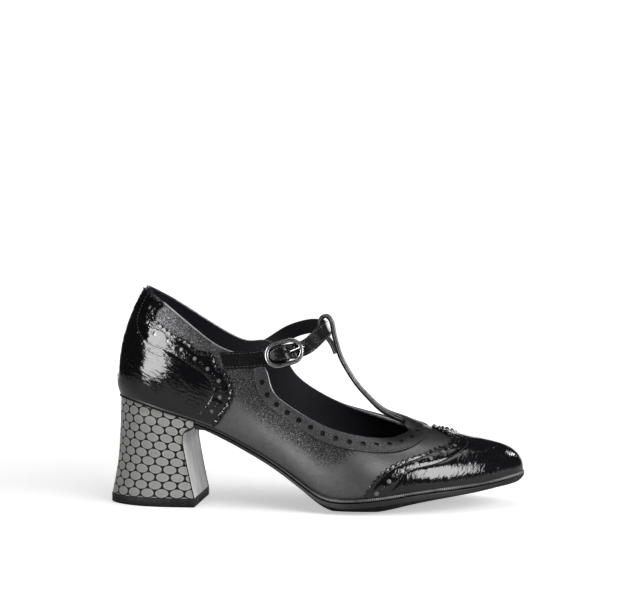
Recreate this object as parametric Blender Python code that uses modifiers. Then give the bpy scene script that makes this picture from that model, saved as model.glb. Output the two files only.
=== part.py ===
"""T-strap pump with brogue trim and a covered block heel: one right shoe, standing on the floor.

The toe points along +X, the outer side faces -Y, and the floor is Z = 0. Sizes are in millimetres in the
last's own frame, which starts at the heel point of the foot line. place() moves them to the object's
frame, with its origin under the middle of the shoe, in metres.
"""
import math
from collections import namedtuple

import bmesh
import bpy
import numpy as np

# Driving dimensions
LENGTH = 230.2           # foot line of the upper, heel to toe
BALL_WIDTH = 75.8        # foot line of the upper, across the ball
COLLAR_HEIGHT = 124.3    # top of the back above the floor
SEAT_HEIGHT = 61.7       # foot line at the heel above the floor
ORIGIN = (113.5, -0.6, 0.0)  # middle of the shoe on the floor

# Thicknesses and clearances
GAP = 0.3                # between pieces that touch
WALL = 1.8               # upper with its lining
OVERLAY = 0.9            # toe wing, counter and facing
OVERLAY_GAP = 0.35
OVERLAY_FOOT = 0.03      # share of the wall's height left free under an overlay
INSOLE = 2.4
INSOLE_INSET = WALL + 0.9
MIDSOLE = 1.6
LIFT = 5.0
STRAP = 1.5
STRAP_HALF_WIDTH = 4.3
TAB = 1.0
PLATE_ROUND = 0.4        # edges of midsole and insole
T_BAR_HALF_WIDTH = 4.6
PRONG_SLOT_HALF = 1.0    # half width of the strap's hole
TAB_SLOT_HALF = 1.2

# Mesh densities
COLUMNS_PER_STATION = 3
ZONE_ROWS = (1, 5, 2, 2)  # rows up to the overlays' foot, the trim line, the facing line and the top line
T_BAR_ROWS = 25
SECTION_STEP = 6.0       # between cross-sections of sole and insole
ROUND_END = (0.0, 0.4, 1.3, 2.8, 5.0)  # closer cross-sections at a round end
HEEL_POINTS = 21
CLOSEST_SECTIONS = 2.0   # least distance between a round end and the shared step
TIP_SECTIONS = 7         # strap before its hole
STRAP_SECTIONS = 36      # strap after its hole
TAB_SECTIONS = 30
OUTLINE_STEPS = 400
PRONG_CURL_STEPS = 10
SHARP_ANGLE = 35.0       # degrees
MERGE = 1e-6             # metres
SMALL = 1e-4             # step for slopes, as a share
SEEK_ROUNDS = 20
SEEK_LIMIT = (0.02, 0.1)  # longest move of t and h in one round

# Upper: one row for each section, from the foot line to the top line. Lengths along are percent of LENGTH,
# lengths across percent of BALL_WIDTH, heights percent of COLLAR_HEIGHT. The handles of each section's curve
# are in millimetres: rise and flare at the foot, drop and swell at the top. The trim line (top of counter and
# toe wing) and the lower line of the facing are shares of the section.
Station = namedtuple("Station", "foot_along foot_across top_along top_across top_height "
                                "rise flare drop swell trim facing")
FOOT = slice(0, 2)
TOP = slice(2, 5)
HANDLES = slice(5, 9)
TRIM = 9
FACING = 10
OUTER_SIDE = (
    Station(0.0, 0.0, 6.6, 0.0, 100.0, 20.0, 2.0, 22.0, 4.5, 0.965, 0.980),     # heel
    Station(3.9, -21.9, 10.4, -17.8, 95.2, 19.0, 1.6, 20.0, 4.5, 0.950, 0.970),  # heel corner
    Station(9.1, -31.1, 15.4, -26.9, 88.4, 18.0, 1.4, 18.0, 4.0, 0.840, 0.930),  # heel side
    Station(14.3, -34.3, 21.5, -32.5, 79.6, 16.0, 1.6, 16.0, 3.5, 0.862, 0.930),  # collar
    Station(19.1, -34.8, 26.9, -35.1, 72.7, 15.0, 2.0, 14.0, 3.0, 0.862, 0.930),  # counter
    Station(23.9, -34.8, 32.1, -36.1, 69.3, 14.0, 2.6, 13.0, 2.8, 0.735, 0.900),  # tab
    Station(27.6, -34.8, 36.1, -36.8, 66.9, 13.0, 3.2, 11.0, 2.6, 0.550, 0.860),  # counter front
    Station(31.1, -35.0, 38.5, -37.1, 61.9, 12.0, 3.6, 8.0, 2.6, 0.420, 0.785),  # facing end
    Station(35.6, -36.0, 39.8, -37.7, 54.1, 11.0, 4.0, 7.0, 2.4, 0.340, 0.755),  # shank
    Station(42.1, -39.4, 44.1, -39.7, 46.5, 11.0, 4.0, 9.0, 2.4, 0.260, 0.776),  # waist
    Station(50.8, -46.2, 52.1, -40.9, 38.2, 10.0, 3.4, 9.0, 2.8, 0.180, 0.757),  # joint
    Station(60.4, -50.7, 61.3, -38.0, 33.0, 9.0, 2.6, 8.0, 3.2, 0.070, 0.735),   # wing end
    Station(67.3, -49.3, 68.0, -29.0, 31.7, 8.5, 2.2, 4.5, 3.0, 0.460, 0.715),   # ball
    Station(74.3, -45.1, 71.7, -19.1, 33.0, 8.5, 2.0, 1.5, 2.0, 0.535, 0.685),   # cut-out front
    Station(82.5, -36.4, 72.5, -13.6, 35.3, 11.6, 1.6, 4.8, -0.8, 0.575, 0.775),   # vamp
    Station(90.8, -23.0, 71.7, -8.2, 38.0, 16.4, 1.4, 9.6, -2.4, 0.660, 0.855),   # T-bar edge
    Station(97.1, -8.2, 71.9, -4.0, 39.1, 19.0, 1.2, 13.9, -3.6, 0.800, 0.880),    # toe corner
    Station(100.0, 5.3, 71.9, 0.5, 39.3, 20.0, 1.0, 16.0, -4.0, 0.865, 0.890),     # toe
)
INNER_SIDE = (
    Station(97.7, 18.5, 71.9, 5.0, 39.1, 19.0, 1.2, 13.9, -3.6, 0.800, 0.880),    # toe corner
    Station(92.5, 31.1, 71.7, 9.0, 38.3, 16.4, 1.4, 9.6, -2.4, 0.660, 0.855),    # T-bar edge
    Station(85.1, 42.0, 72.5, 14.0, 36.5, 12.0, 1.8, 4.8, -0.8, 0.575, 0.775),    # vamp
    Station(77.3, 47.8, 71.7, 18.9, 35.6, 9.5, 2.2, 1.5, 2.0, 0.535, 0.685),    # cut-out front
    Station(69.9, 48.8, 68.0, 26.4, 37.2, 10.0, 2.6, 5.0, 3.0, 0.460, 0.715),   # ball
    Station(62.1, 43.9, 61.7, 33.2, 40.1, 11.0, 3.4, 8.0, 3.2, 0.070, 0.735),   # wing end
    Station(51.7, 32.7, 53.4, 36.4, 45.1, 12.0, 4.8, 9.0, 2.6, 0.180, 0.757),   # joint
    Station(43.0, 27.4, 45.8, 36.9, 52.8, 13.0, 5.6, 10.0, 2.2, 0.260, 0.776),  # waist
    Station(36.1, 27.2, 41.7, 36.1, 60.7, 14.0, 5.6, 9.0, 2.2, 0.340, 0.755),   # shank
    Station(31.3, 28.9, 38.9, 35.1, 69.6, 14.0, 4.8, 10.0, 2.4, 0.420, 0.785),  # facing end
    Station(27.6, 30.6, 35.4, 35.1, 73.7, 14.0, 4.0, 12.0, 2.6, 0.550, 0.860),  # counter front
    Station(23.9, 32.3, 31.3, 35.4, 73.5, 15.0, 3.2, 14.0, 2.8, 0.735, 0.900),  # strap end
    Station(19.1, 33.8, 26.1, 34.3, 76.9, 15.0, 2.2, 14.0, 3.0, 0.862, 0.930),  # counter
    Station(14.3, 33.8, 21.1, 32.2, 82.5, 16.0, 1.6, 16.0, 3.5, 0.862, 0.930),  # collar
    Station(9.1, 30.9, 15.2, 27.4, 89.9, 18.0, 1.4, 18.0, 4.0, 0.840, 0.930),   # heel side
    Station(3.9, 21.9, 10.4, 17.8, 95.7, 19.0, 1.6, 20.0, 4.5, 0.950, 0.970),   # heel corner
)
PLAN_SHARE = 0.62        # how far the top handle reaches from the top line towards the foot line
TOE = len(OUTER_SIDE) - 1
COUNTER_FRONT = (6, -6)  # stations, counted from the heel, where each overlay ends on either side
TAB_STATION = 5
FACING_END = (7, -7)
WING_END = (11, -11)
T_BAR_EDGE = (15, -15)

# Height of the foot line along the shoe: percent of LENGTH, percent of SEAT_HEIGHT
FOOT_LINE = (
    (-2.6, 101.5), (4.3, 97.6), (13.0, 88.5), (21.7, 78.8), (27.8, 69.7), (33.4, 59.0), (39.1, 47.3),
    (44.7, 34.0), (48.7, 23.7), (52.1, 16.5), (55.6, 13.9), (60.8, 14.4), (66.9, 16.9), (74.7, 21.2),
    (82.9, 24.0), (91.7, 27.1), (97.3, 30.2), (101.7, 32.9),
)
ARCH_LIFT = 2.0          # how much higher the inner foot line runs at the arch
ARCH_PLACE = (0.39, 0.10)  # middle and spread of the arch, as shares of LENGTH
ARCH_EDGES = (-28.0, 22.0)  # outer and inner foot line there

# Sole: percent of LENGTH against millimetres
TREAD_HEIGHT = (
    (21.1, 44.5), (23.5, 43.7), (25.2, 41.7), (27.8, 38.4), (33.4, 31.6), (39.1, 24.2), (44.7, 15.6),
    (48.7, 7.8), (52.1, 2.2), (55.6, -0.6), (61.7, -0.8), (66.9, 0.6), (72.1, 3.2), (79.9, 6.4),
    (88.2, 9.1), (93.8, 11.0), (98.2, 12.9), (101.2, 14.6),
)
SOLE_EDGE = (
    (21.1, 2.8), (23.5, 1.2), (27.8, 1.7), (48.0, 1.9), (56.0, 2.6), (75.0, 2.8), (95.0, 2.6), (101.2, 2.1),
)
SOLE_MARGIN = (
    (21.1, 0.5), (40.0, 0.7), (50.0, 1.4), (58.0, 2.2), (75.0, 2.2), (90.0, 2.1), (100.0, 2.0),
)
SOLE_START = 48.6        # back end of outsole and midsole, just before the heel
EDGE_ROUND = 0.5
# Underside of the outsole, from the edge to the flat tread: inset, share of the way down
SOLE_ROLL = ((0.0, 0.0), (5.0, 0.55), (15.0, 1.0))
ROLL_HALF_WIDTH = 20.0   # narrower sections shrink the roll

# Heel: one row for each ring from the seat down, by its height and place at the breast
HeelRing = namedtuple("HeelRing", "breast_height breast_along back_along half_width")
HEEL_RINGS = (
    HeelRing(48.7, 48.2, 0.5, 26.0),
    HeelRing(46.6, 48.0, 0.5, 25.8),
    HeelRing(45.0, 47.6, 0.4, 25.6),
    HeelRing(44.1, 45.4, 0.4, 25.4),
    HeelRing(43.0, 43.2, 0.4, 25.2),
    HeelRing(41.3, 41.9, 0.3, 24.9),
    HeelRing(38.5, 41.1, 0.3, 24.4),
    HeelRing(32.0, 41.7, -0.1, 23.8),
    HeelRing(24.0, 43.2, -0.7, 23.2),
    HeelRing(16.0, 44.9, -2.0, 22.8),
    HeelRing(10.0, 46.2, -3.4, 22.6),
    HeelRing(LIFT + GAP, 47.4, -4.6, 22.6),
)
LIFT_ROUND = 0.4

# T-bar: outer face from the throat up, over the fold and down the back of its loop (along, height)
T_BAR_PATH = (
    (160.9, 50.5), (152.1, 54.4), (145.7, 60.0), (138.5, 67.9), (132.1, 77.5), (128.1, 85.5), (126.1, 92.3),
    (124.9, 97.0), (124.1, 101.8), (122.7, 105.6), (119.6, 107.8), (116.5, 106.4), (115.4, 103.0),
    (115.8, 99.2), (118.6, 95.1), (122.2, 90.2), (124.3, 85.2),
)
T_BAR_CROWN_FADE = 14.0  # length over which the vamp's crown dies out along the bar

# Buckle: centre, direction of the strap and lean of its width
BUCKLE_CENTRE = (99.0, -30.6, 86.9)
BUCKLE_ALONG = (0.95, 0.10, 0.29)
BUCKLE_UP = (0.0, 0.22, 0.975)
RING_LENGTH = 22.0
RING_WIDTH = 13.8
RING_WIRE = 1.1          # radius
BAR_WIRE = 0.6
BAR_DEPTH = -0.9         # bar below the ring's plane
PRONG_WIRE = 0.6
RING_CORNER_STEPS = 10
WIRE_RESOLUTION = 2

# Strap from its tip to the loop, in the buckle's frame (along, out of the ring's plane)
STRAP_AT_BUCKLE = (
    (-7.6, 1.3), (-5.0, 1.85), (-2.4, 2.2), (-0.4, 2.25), (1.4, 1.7), (3.0, 0.05), (4.4, -1.5), (6.0, -2.4),
    (8.0, -2.6), (10.0, -2.65), (13.0, -2.7),
)
STRAP_HOLE = (1.9, 4.8)  # where the prong comes through, along the buckle
STRAP_TIP = ((0.0, 0.55), (1.2, 0.85), (3.4, 1.0))  # distance from the tip, share of the width
# Strap over the instep: along, across, height, and its outward direction
STRAP_OVER_INSTEP = (
    (117.6, -18.2, 96.6, 0.42, -0.80, 0.43),
    (120.2, -10.4, 99.2, 0.70, -0.57, 0.42),
    (120.2, -4.0, 100.0, 0.92, -0.12, 0.38),
    (120.3, 1.0, 100.3, 0.93, 0.02, 0.37),
    (120.1, 5.6, 100.3, 0.91, 0.18, 0.38),
    (114.0, 11.4, 101.0, 0.62, 0.65, 0.44),
    (105.5, 17.6, 100.0, 0.42, 0.78, 0.46),
    (96.0, 23.6, 96.8, 0.28, 0.86, 0.42),
)
# Strap end on the inner quarter, and the tab on the outer quarter (along, height)
STRAP_ON_QUARTER = ((85.6, 90.6), (80.5, 87.6), (74.5, 84.2))
TAB_ON_QUARTER = ((67.4, 82.4), (74.0, 82.7), (80.5, 83.1), (86.0, 83.9))
TAB_HALF_WIDTH = 4.7
TAB_DEPTH = -2.25        # tab under the ring's plane
TAB_FOLD = (-5.0, -2.0)  # start of the fold under the bar and its end above it, along the buckle
TAB_SLOT_START = -3.4
FOLD_STEPS = 7

# Prong: curl round the bar in degrees, then its way through the strap (along, out of the ring's plane)
PRONG_CURL = (150.0, 330.0)
PRONG_RISE = ((4.3, 0.05), (7.0, 1.25))
PRONG_CREST = (-0.8, 0.7)  # crest over the end of the ring, from the middle of its wire
PRONG_TIP = 0.9          # how far the tip reaches past the ring


def place(points):
    """Points of the last's frame, in millimetres, in the object's frame in metres."""
    return (np.asarray(points, float) - ORIGIN) * 0.001


def spline(knots, rows, at, closed=False):
    """Read a smooth cubic curve through rows, one for each knot, at the parameters at."""
    rows = np.asarray(rows, float)
    step = np.diff(knots)
    count = len(rows)
    system = np.eye(count)
    right = np.zeros_like(rows)
    for k in range(count) if closed else range(1, count - 1):
        after = (k + 1) % count
        system[k, k] = 2.0 * (step[k - 1] + step[k])
        system[k, k - 1] = step[k - 1]
        system[k, after] = step[k]
        right[k] = 6.0 * ((rows[after] - rows[k]) / step[k] - (rows[k] - rows[k - 1]) / step[k - 1])
    bend = np.linalg.solve(system, right)
    at = np.mod(at, knots[-1]) if closed else np.asarray(at, float)
    k = np.clip(np.searchsorted(knots, at, side="right") - 1, 0, len(step) - 1)
    after = (k + 1) % count
    w = ((at - knots[k]) / step[k])[:, None]
    v = 1.0 - w
    reach = (step[k] ** 2 / 6.0)[:, None]
    return v * rows[k] + w * rows[after] + reach * ((v ** 3 - v) * bend[k] + (w ** 3 - w) * bend[after])


def chord_knots(points):
    """Knots that grow with the distance between successive points."""
    points = np.asarray(points, float)
    return np.concatenate([[0.0], np.cumsum(np.linalg.norm(np.diff(points, axis=0), axis=1))])


def unit(vectors):
    """Vectors scaled to length one."""
    vectors = np.asarray(vectors, float)
    return vectors / np.linalg.norm(vectors, axis=-1, keepdims=True)


def height_table(table, along, height_scale=1.0):
    """Read a table of percent of LENGTH against height as a smooth curve."""
    table = np.asarray(table, float)
    along = np.asarray(along, float)
    knots = table[:, 0] * LENGTH / 100.0
    return spline(knots, table[:, 1:] * height_scale, along.ravel())[:, 0].reshape(along.shape)


def size_table(table, along):
    """Read a table of percent of LENGTH against millimetres with straight runs."""
    table = np.asarray(table, float)
    return np.interp(along, table[:, 0] * LENGTH / 100.0, table[:, 1])


def foot_height(along, across):
    """Height of the foot line, a little higher on the inner side of the arch."""
    level = height_table(FOOT_LINE, along, SEAT_HEIGHT / 100.0)
    middle, spread = ARCH_PLACE
    outer, inner = ARCH_EDGES
    arch = np.exp(-((along / LENGTH - middle) / spread) ** 2)
    return level + ARCH_LIFT * arch * (across - outer) / (inner - outer)


def station_table():
    """Stations in millimetres, heel to toe on the outer side and back on the inner side."""
    percent_of = [LENGTH, BALL_WIDTH, LENGTH, BALL_WIDTH, COLLAR_HEIGHT]
    rows = np.array(OUTER_SIDE + INNER_SIDE)
    rows[:, :len(percent_of)] *= np.array(percent_of) / 100.0
    return rows


STATIONS = station_table()
LOOP = chord_knots(np.vstack([STATIONS, STATIONS[:1]])[:, :TOP.stop])
KNOTS = LOOP / LOOP[-1]


def stations_at(t):
    """Values of the station table at places t round the shoe."""
    return spline(KNOTS, STATIONS, t, closed=True)


def plan_outward(t):
    """Outward direction of the foot line in plan at places t."""
    run = unit((stations_at(t + SMALL) - stations_at(t - SMALL))[:, FOOT])
    return np.column_stack([run[:, 1], -run[:, 0]])


def wall(t, h):
    """Outer face of the upper: t runs round the shoe from the heel, h from foot line to top line."""
    t, h = np.broadcast_arrays(np.asarray(t, float), np.asarray(h, float))
    flat = t.ravel()
    row = stations_at(flat)
    out = plan_outward(flat)
    foot = np.column_stack([row[:, FOOT], foot_height(*row[:, FOOT].T)])
    top = row[:, TOP]
    rise, flare, drop, swell = np.split(row[:, HANDLES], 4, axis=1)
    low = foot + np.hstack([out * flare, rise])
    high = top + np.hstack([(foot - top)[:, :2] * PLAN_SHARE + out * swell, -drop])
    h = h.ravel()[:, None]
    g = 1.0 - h
    points = g ** 3 * foot + 3 * h * g ** 2 * low + 3 * h ** 2 * g * high + h ** 3 * top
    return points.reshape(t.shape + (3,))


def wall_normal(t, h):
    """Outward direction of the upper's outer face."""
    round_shoe = wall(t + SMALL, h) - wall(t - SMALL, h)
    up_wall = wall(t, h + SMALL) - wall(t, h - SMALL)
    return unit(np.cross(round_shoe, up_wall))


def wall_place(along, height, start):
    """Find t and h of the point of the wall with this place along and this height, near the pair start."""
    place_on_wall = np.array(start, float)
    limit = np.array(SEEK_LIMIT)
    for _ in range(SEEK_ROUNDS):
        t, h = place_on_wall
        here = wall(t, h)
        miss = np.array([along - here[0], height - here[2]])
        slopes = np.column_stack([wall(t + SMALL, h) - here, wall(t, h + SMALL) - here])[[0, 2]] / SMALL
        place_on_wall += np.clip(np.linalg.solve(slopes, miss), -limit, limit)
    return tuple(place_on_wall)


def column_places():
    """Places t of the upper's columns, a few for each station."""
    ends = np.append(KNOTS[1:], 1.0)[:len(STATIONS)]
    shares = np.arange(COLUMNS_PER_STATION) / COLUMNS_PER_STATION
    return (KNOTS[:-1, None] + (ends - KNOTS[:-1])[:, None] * shares).ravel()


def row_places(t):
    """Places h of the upper's rows on each column, with rows on the trim line and the facing line."""
    row = stations_at(t)
    foot = np.zeros(len(t))
    lines = np.column_stack([foot, foot + OVERLAY_FOOT, row[:, TRIM], row[:, FACING], foot + 1.0])
    zones = [np.linspace(lines[:, k], lines[:, k + 1], count, endpoint=False, axis=1)
             for k, count in enumerate(ZONE_ROWS)]
    return np.hstack(zones + [lines[:, -1:]])


COLUMNS = column_places()
ROWS = row_places(COLUMNS)
FOOT_ROW, TRIM_ROW, FACING_ROW, TOP_ROW = (sum(ZONE_ROWS[:k]) for k in (1, 2, 3, 4))


def round_toe(ends):
    """First and last station of a piece that runs round the toe."""
    return ends[0], len(STATIONS) + ends[1]


def round_heel(ends):
    """First and last station of a piece that runs round the heel."""
    return ends[1], ends[0]


def make_material(name, colour, roughness, metallic=0.0):
    """Principled material of one finish."""
    material = bpy.data.materials.new(name)
    material.use_nodes = True
    shader = material.node_tree.nodes["Principled BSDF"]
    shader.inputs["Base Color"].default_value = (*colour, 1.0)
    shader.inputs["Roughness"].default_value = roughness
    shader.inputs["Metallic"].default_value = metallic
    return material


def add_object(name, mesh, finish):
    """Put a mesh in the shoe's collection as a named sub-part."""
    item = bpy.data.objects.new(name, mesh)
    SHOE.objects.link(item)
    mesh.materials.clear()
    mesh.materials.append(make_material(name, *finish))
    return item


def mesh_from(name, points, faces):
    """Mesh of points in the last's frame."""
    mesh = bpy.data.meshes.new(name)
    mesh.from_pydata([tuple(p) for p in place(points)], [], faces)
    mesh.shade_smooth()
    mesh.set_sharp_from_angle(angle=math.radians(SHARP_ANGLE))
    return mesh


def add_sheet(name, points, faces, finish, thickness, side):
    """Open sheet given a thickness: side -1 grows inwards, 1 outwards, 0 both ways."""
    item = add_object(name, mesh_from(name, points, faces), finish)
    solid = item.modifiers.new("thickness", "SOLIDIFY")
    solid.thickness = thickness * 0.001
    solid.offset = side
    solid.use_even_offset = True
    return item


def grid_faces(columns, rows, closed=False, skip=()):
    """Quads of a grid whose points run row by row within each column."""
    faces = []
    for i in range(columns if closed else columns - 1):
        for j in range(rows - 1):
            if (i, j) not in skip:
                nxt = (i + 1) % columns
                faces.append((i * rows + j, nxt * rows + j, nxt * rows + j + 1, i * rows + j + 1))
    return faces


def add_loft(name, rings, finish, paired_caps=False):
    """Closed solid through rings of equal length; paired caps run across from side to side."""
    count = len(rings[0])
    faces = grid_faces(len(rings), count)
    faces += [(i * count + count - 1, (i + 1) * count + count - 1, (i + 1) * count, i * count)
              for i in range(len(rings) - 1)]
    for start in (0, (len(rings) - 1) * count):
        if paired_caps:
            faces += [(start + k, start + k + 1, start + count - 2 - k, start + count - 1 - k)
                      for k in range((count - 1) // 2)]
        else:
            faces.append(tuple(range(start, start + count)))
    mesh = mesh_from(name, np.concatenate(rings), faces)
    solid = bmesh.new()
    solid.from_mesh(mesh)
    bmesh.ops.remove_doubles(solid, verts=solid.verts, dist=MERGE)
    bmesh.ops.dissolve_degenerate(solid, edges=solid.edges, dist=MERGE)
    bmesh.ops.recalc_face_normals(solid, faces=solid.faces)
    solid.to_mesh(mesh)
    solid.free()
    return add_object(name, mesh, finish)


def t_bar_rows():
    """Rows of the T-bar's outer face, from the top line of the vamp to the end of the loop."""
    first, last = (station * COLUMNS_PER_STATION for station in round_toe(T_BAR_EDGE))
    root = wall(COLUMNS[first:last + 1], 1.0)
    middle = root[len(root) // 2]
    path = np.array([(middle[0], middle[2])] + list(T_BAR_PATH))
    knots = chord_knots(path)
    at = np.linspace(0.0, knots[-1], T_BAR_ROWS + 1)[1:]
    share = 2.0 * (root[:, 1] - root[0, 1]) / (root[-1, 1] - root[0, 1]) - 1.0
    rows = []
    for distance, (along, height) in zip(at, spline(knots, path, at)):
        fade = math.exp(-(distance / T_BAR_CROWN_FADE) ** 2)
        width = T_BAR_HALF_WIDTH + (root[-1, 1] - root[0, 1] - 2 * T_BAR_HALF_WIDTH) / 2 * fade
        rows.append(np.column_stack([
            along + (root[:, 0] - middle[0]) * fade,
            share * width + middle[1] * fade,
            height + (root[:, 2] - middle[2]) * fade,
        ]))
    return first, rows


def build_upper(finish):
    """Hollow wall of vamp and quarters with the T-bar and its folded loop."""
    points = wall(COLUMNS[:, None], ROWS).reshape(-1, 3)
    height = ROWS.shape[1]
    faces = grid_faces(len(COLUMNS), height, closed=True)
    first, rows = t_bar_rows()
    below = [(first + k) * height + height - 1 for k in range(len(rows[0]))]
    start = len(points)
    for row in rows:
        above = list(range(start, start + len(row)))
        faces += [(below[k], below[k + 1], above[k + 1], above[k]) for k in range(len(row) - 1)]
        below = above
        start += len(row)
    return add_sheet("upper", np.vstack([points] + rows), faces, finish, WALL, -1)


def build_overlay(name, stations, low_row, high_row, finish):
    """Piece cut from the upper's own face between two stations and two of its rows, just outside it."""
    first, last = (station * COLUMNS_PER_STATION for station in stations)
    columns = np.arange(first, last + 1) % len(COLUMNS)
    t = COLUMNS[columns][:, None]
    h = np.minimum(ROWS[columns, low_row:high_row + 1], 1.0 - OVERLAY_FOOT / 2)
    points = wall(t, h) + wall_normal(t, h) * OVERLAY_GAP
    faces = grid_faces(len(columns), high_row - low_row + 1)
    return add_sheet(name, points.reshape(-1, 3), faces, finish, OVERLAY, 1)


def plan_edges(along, margin):
    """Outer and inner edge of a plan outline that stands off the foot line by margin, at each place along."""
    sides = []
    for low, high in ((0.0, KNOTS[TOE]), (KNOTS[TOE], 1.0)):
        t = np.linspace(low, high, OUTLINE_STEPS)
        foot = stations_at(t)[:, FOOT]
        reach = margin(foot[:, 0])[:, None] if callable(margin) else margin
        edge = foot + plan_outward(t) * reach
        edge = edge[np.argsort(edge[:, 0])]
        sides.append(np.interp(along, edge[:, 0], edge[:, 1]))
    return sides


def sole_margin(along):
    """How far the sole stands out beyond the foot line."""
    return size_table(SOLE_MARGIN, along)


def section_places(start, end, round_start):
    """Places of cross-sections on one shared step, closer together at round ends."""
    shared = np.arange(0.0, LENGTH, SECTION_STEP)
    first = start + np.array(ROUND_END if round_start else ROUND_END[:1])
    last = end - np.array(ROUND_END[::-1])
    between = shared[(shared > first[-1] + CLOSEST_SECTIONS) & (shared < last[0] - CLOSEST_SECTIONS)]
    return np.concatenate([first, between, last])


def sole_places():
    """Places of the cross-sections of outsole and midsole."""
    return section_places(SOLE_START, LENGTH + sole_margin(LENGTH) - GAP, False)


def section(along, low, high, half):
    """Closed ring across the sole from half of its profile: (inset, height function) down from the top."""
    outer = [(low + inset, level) for inset, level in half]
    inner = [(high - inset, level) for inset, level in reversed(half)]
    ring = [(along, y, level(y)) for y, level in outer + inner]
    return np.array(ring)


def build_outsole(finish):
    """Waist and forefoot with a rolled edge and a flat tread."""
    places = sole_places()
    low, high = plan_edges(places, sole_margin)
    tread = np.maximum(height_table(TREAD_HEIGHT, places), 0.0)
    edge = size_table(SOLE_EDGE, places)
    rings = []
    for x, y0, y1, bottom, thick in zip(places, low, high, tread, edge):
        shrink = min(1.0, (y1 - y0) / 2 / ROLL_HALF_WIDTH)

        def top(y, x=x):
            return float(foot_height(np.array(x), np.array(y))) - 2 * GAP - MIDSOLE

        def rolled(share, x=x, bottom=bottom, thick=thick):
            return lambda y: (1 - share) * (top(y, x) - thick) + share * bottom

        half = [(EDGE_ROUND * shrink, top), (0.0, lambda y, x=x: top(y, x) - EDGE_ROUND)]
        half += [(inset * shrink, rolled(share)) for inset, share in SOLE_ROLL]
        rings.append(section(x, y0, y1, half))
    return add_loft("outsole", rings, finish)


def build_plate(name, places, edges, base, thickness, finish):
    """Plate of even thickness that lies base above the foot line, with rounded edges."""
    rings = []
    for x, y0, y1 in zip(places, *edges):
        inset = min(PLATE_ROUND, (y1 - y0) / 6)

        def level(lift, x=x):
            return lambda y: float(foot_height(np.array(x), np.array(y))) + base + lift

        half = [(inset, level(thickness)), (0.0, level(thickness - PLATE_ROUND)),
                (0.0, level(PLATE_ROUND)), (inset, level(0.0))]
        rings.append(section(x, y0, y1, half))
    return add_loft(name, rings, finish)


def build_midsole(finish):
    """Rib between outsole and upper."""
    places = sole_places()
    return build_plate("midsole", places, plan_edges(places, sole_margin), -GAP - MIDSOLE, MIDSOLE, finish)


def build_insole(finish):
    """Board and sock inside the wall, from heel to toe."""
    places = section_places(INSOLE_INSET + GAP, LENGTH - INSOLE_INSET - 3 * GAP, True)
    return build_plate("insole", places, plan_edges(places, -INSOLE_INSET), 0.0, INSOLE, finish)


def heel_outline():
    """Plan of the heel as shares: 0 at the back, 1 at the breast, and across by half its width."""
    front = HEEL_RINGS[0].breast_along
    sides = []
    for low, high in ((0.0, KNOTS[TOE]), (1.0, KNOTS[TOE])):
        t = np.linspace(low, high, OUTLINE_STEPS)
        sides.append(float(np.interp(front, stations_at(t)[:, 0], t)))
    t = np.linspace(sides[0], sides[1] - 1.0, HEEL_POINTS)
    foot = stations_at(t)[:, FOOT]
    width = (foot[:, 1].max() - foot[:, 1].min()) / 2
    return foot[:, 0].clip(0.0) / front, foot[:, 1] / width


def heel_ring(ring, share):
    """One ring of the heel: share 0 lies along the seat, share 1 level above the lift."""
    depth, across = heel_outline()
    x = ring.back_along + depth * (ring.breast_along - ring.back_along)
    y = across * ring.half_width
    top_ring = HEEL_RINGS[0]
    seat_x = top_ring.back_along + depth * (top_ring.breast_along - top_ring.back_along)
    seat = foot_height(seat_x, across * top_ring.half_width) - GAP
    return np.column_stack([x, y, (1 - share) * seat + share * HEEL_RINGS[-1].breast_height])


def build_heel_block(finish):
    """Covered block heel, hollowed at the top of its breast."""
    top, bottom = HEEL_RINGS[0].breast_height, HEEL_RINGS[-1].breast_height
    rings = [heel_ring(ring, (top - ring.breast_height) / (top - bottom)) for ring in HEEL_RINGS]
    return add_loft("heel_block", rings, finish, paired_caps=True)


def build_heel_lift(finish):
    """Top piece on the floor under the heel."""
    flat = heel_ring(HEEL_RINGS[-1], 1.0)
    centre = flat[:, :2].mean(axis=0)
    rings = []
    for height, grow in ((0.0, 0.0), (LIFT_ROUND, LIFT_ROUND), (LIFT, LIFT_ROUND)):
        ring = flat.copy()
        ring[:, :2] += unit(flat[:, :2] - centre) * grow
        ring[:, 2] = height
        rings.append(ring)
    return add_loft("heel_lift", rings, finish, paired_caps=True)


def buckle_matrix():
    """Buckle's frame: columns along the strap, up its width and outwards, then its centre."""
    along = unit(BUCKLE_ALONG)
    out = unit(np.cross(along, BUCKLE_UP))
    return np.column_stack([along, np.cross(out, along), out]), np.array(BUCKLE_CENTRE)


def at_buckle(points):
    """Points of the buckle's frame in the last's frame."""
    axes, centre = buckle_matrix()
    return np.asarray(points, float) @ axes.T + centre


def on_wall(table, start, lift):
    """Points and outward directions for places (along, height) on the wall, raised by lift."""
    centres, normals = [], []
    for along, height in table:
        start = wall_place(along, height, start)
        normal = wall_normal(*start)
        centres.append(wall(*start) + normal * lift)
        normals.append(normal)
    return centres, normals


def ribbon(centres, normals, half_width, at, columns):
    """Points of a flat strip at distances at: smooth through its centres, turned to its directions."""
    smooth = spline(chord_knots(centres), np.hstack([centres, normals]), at)
    centre, normal = smooth[:, :3], unit(smooth[:, 3:])
    tangent = unit(np.gradient(centre, axis=0))
    width = unit(np.cross(normal, tangent))
    half = np.broadcast_to(half_width, len(at))
    return np.stack([centre + width * (half * c)[:, None] for c in columns], axis=1)


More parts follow.
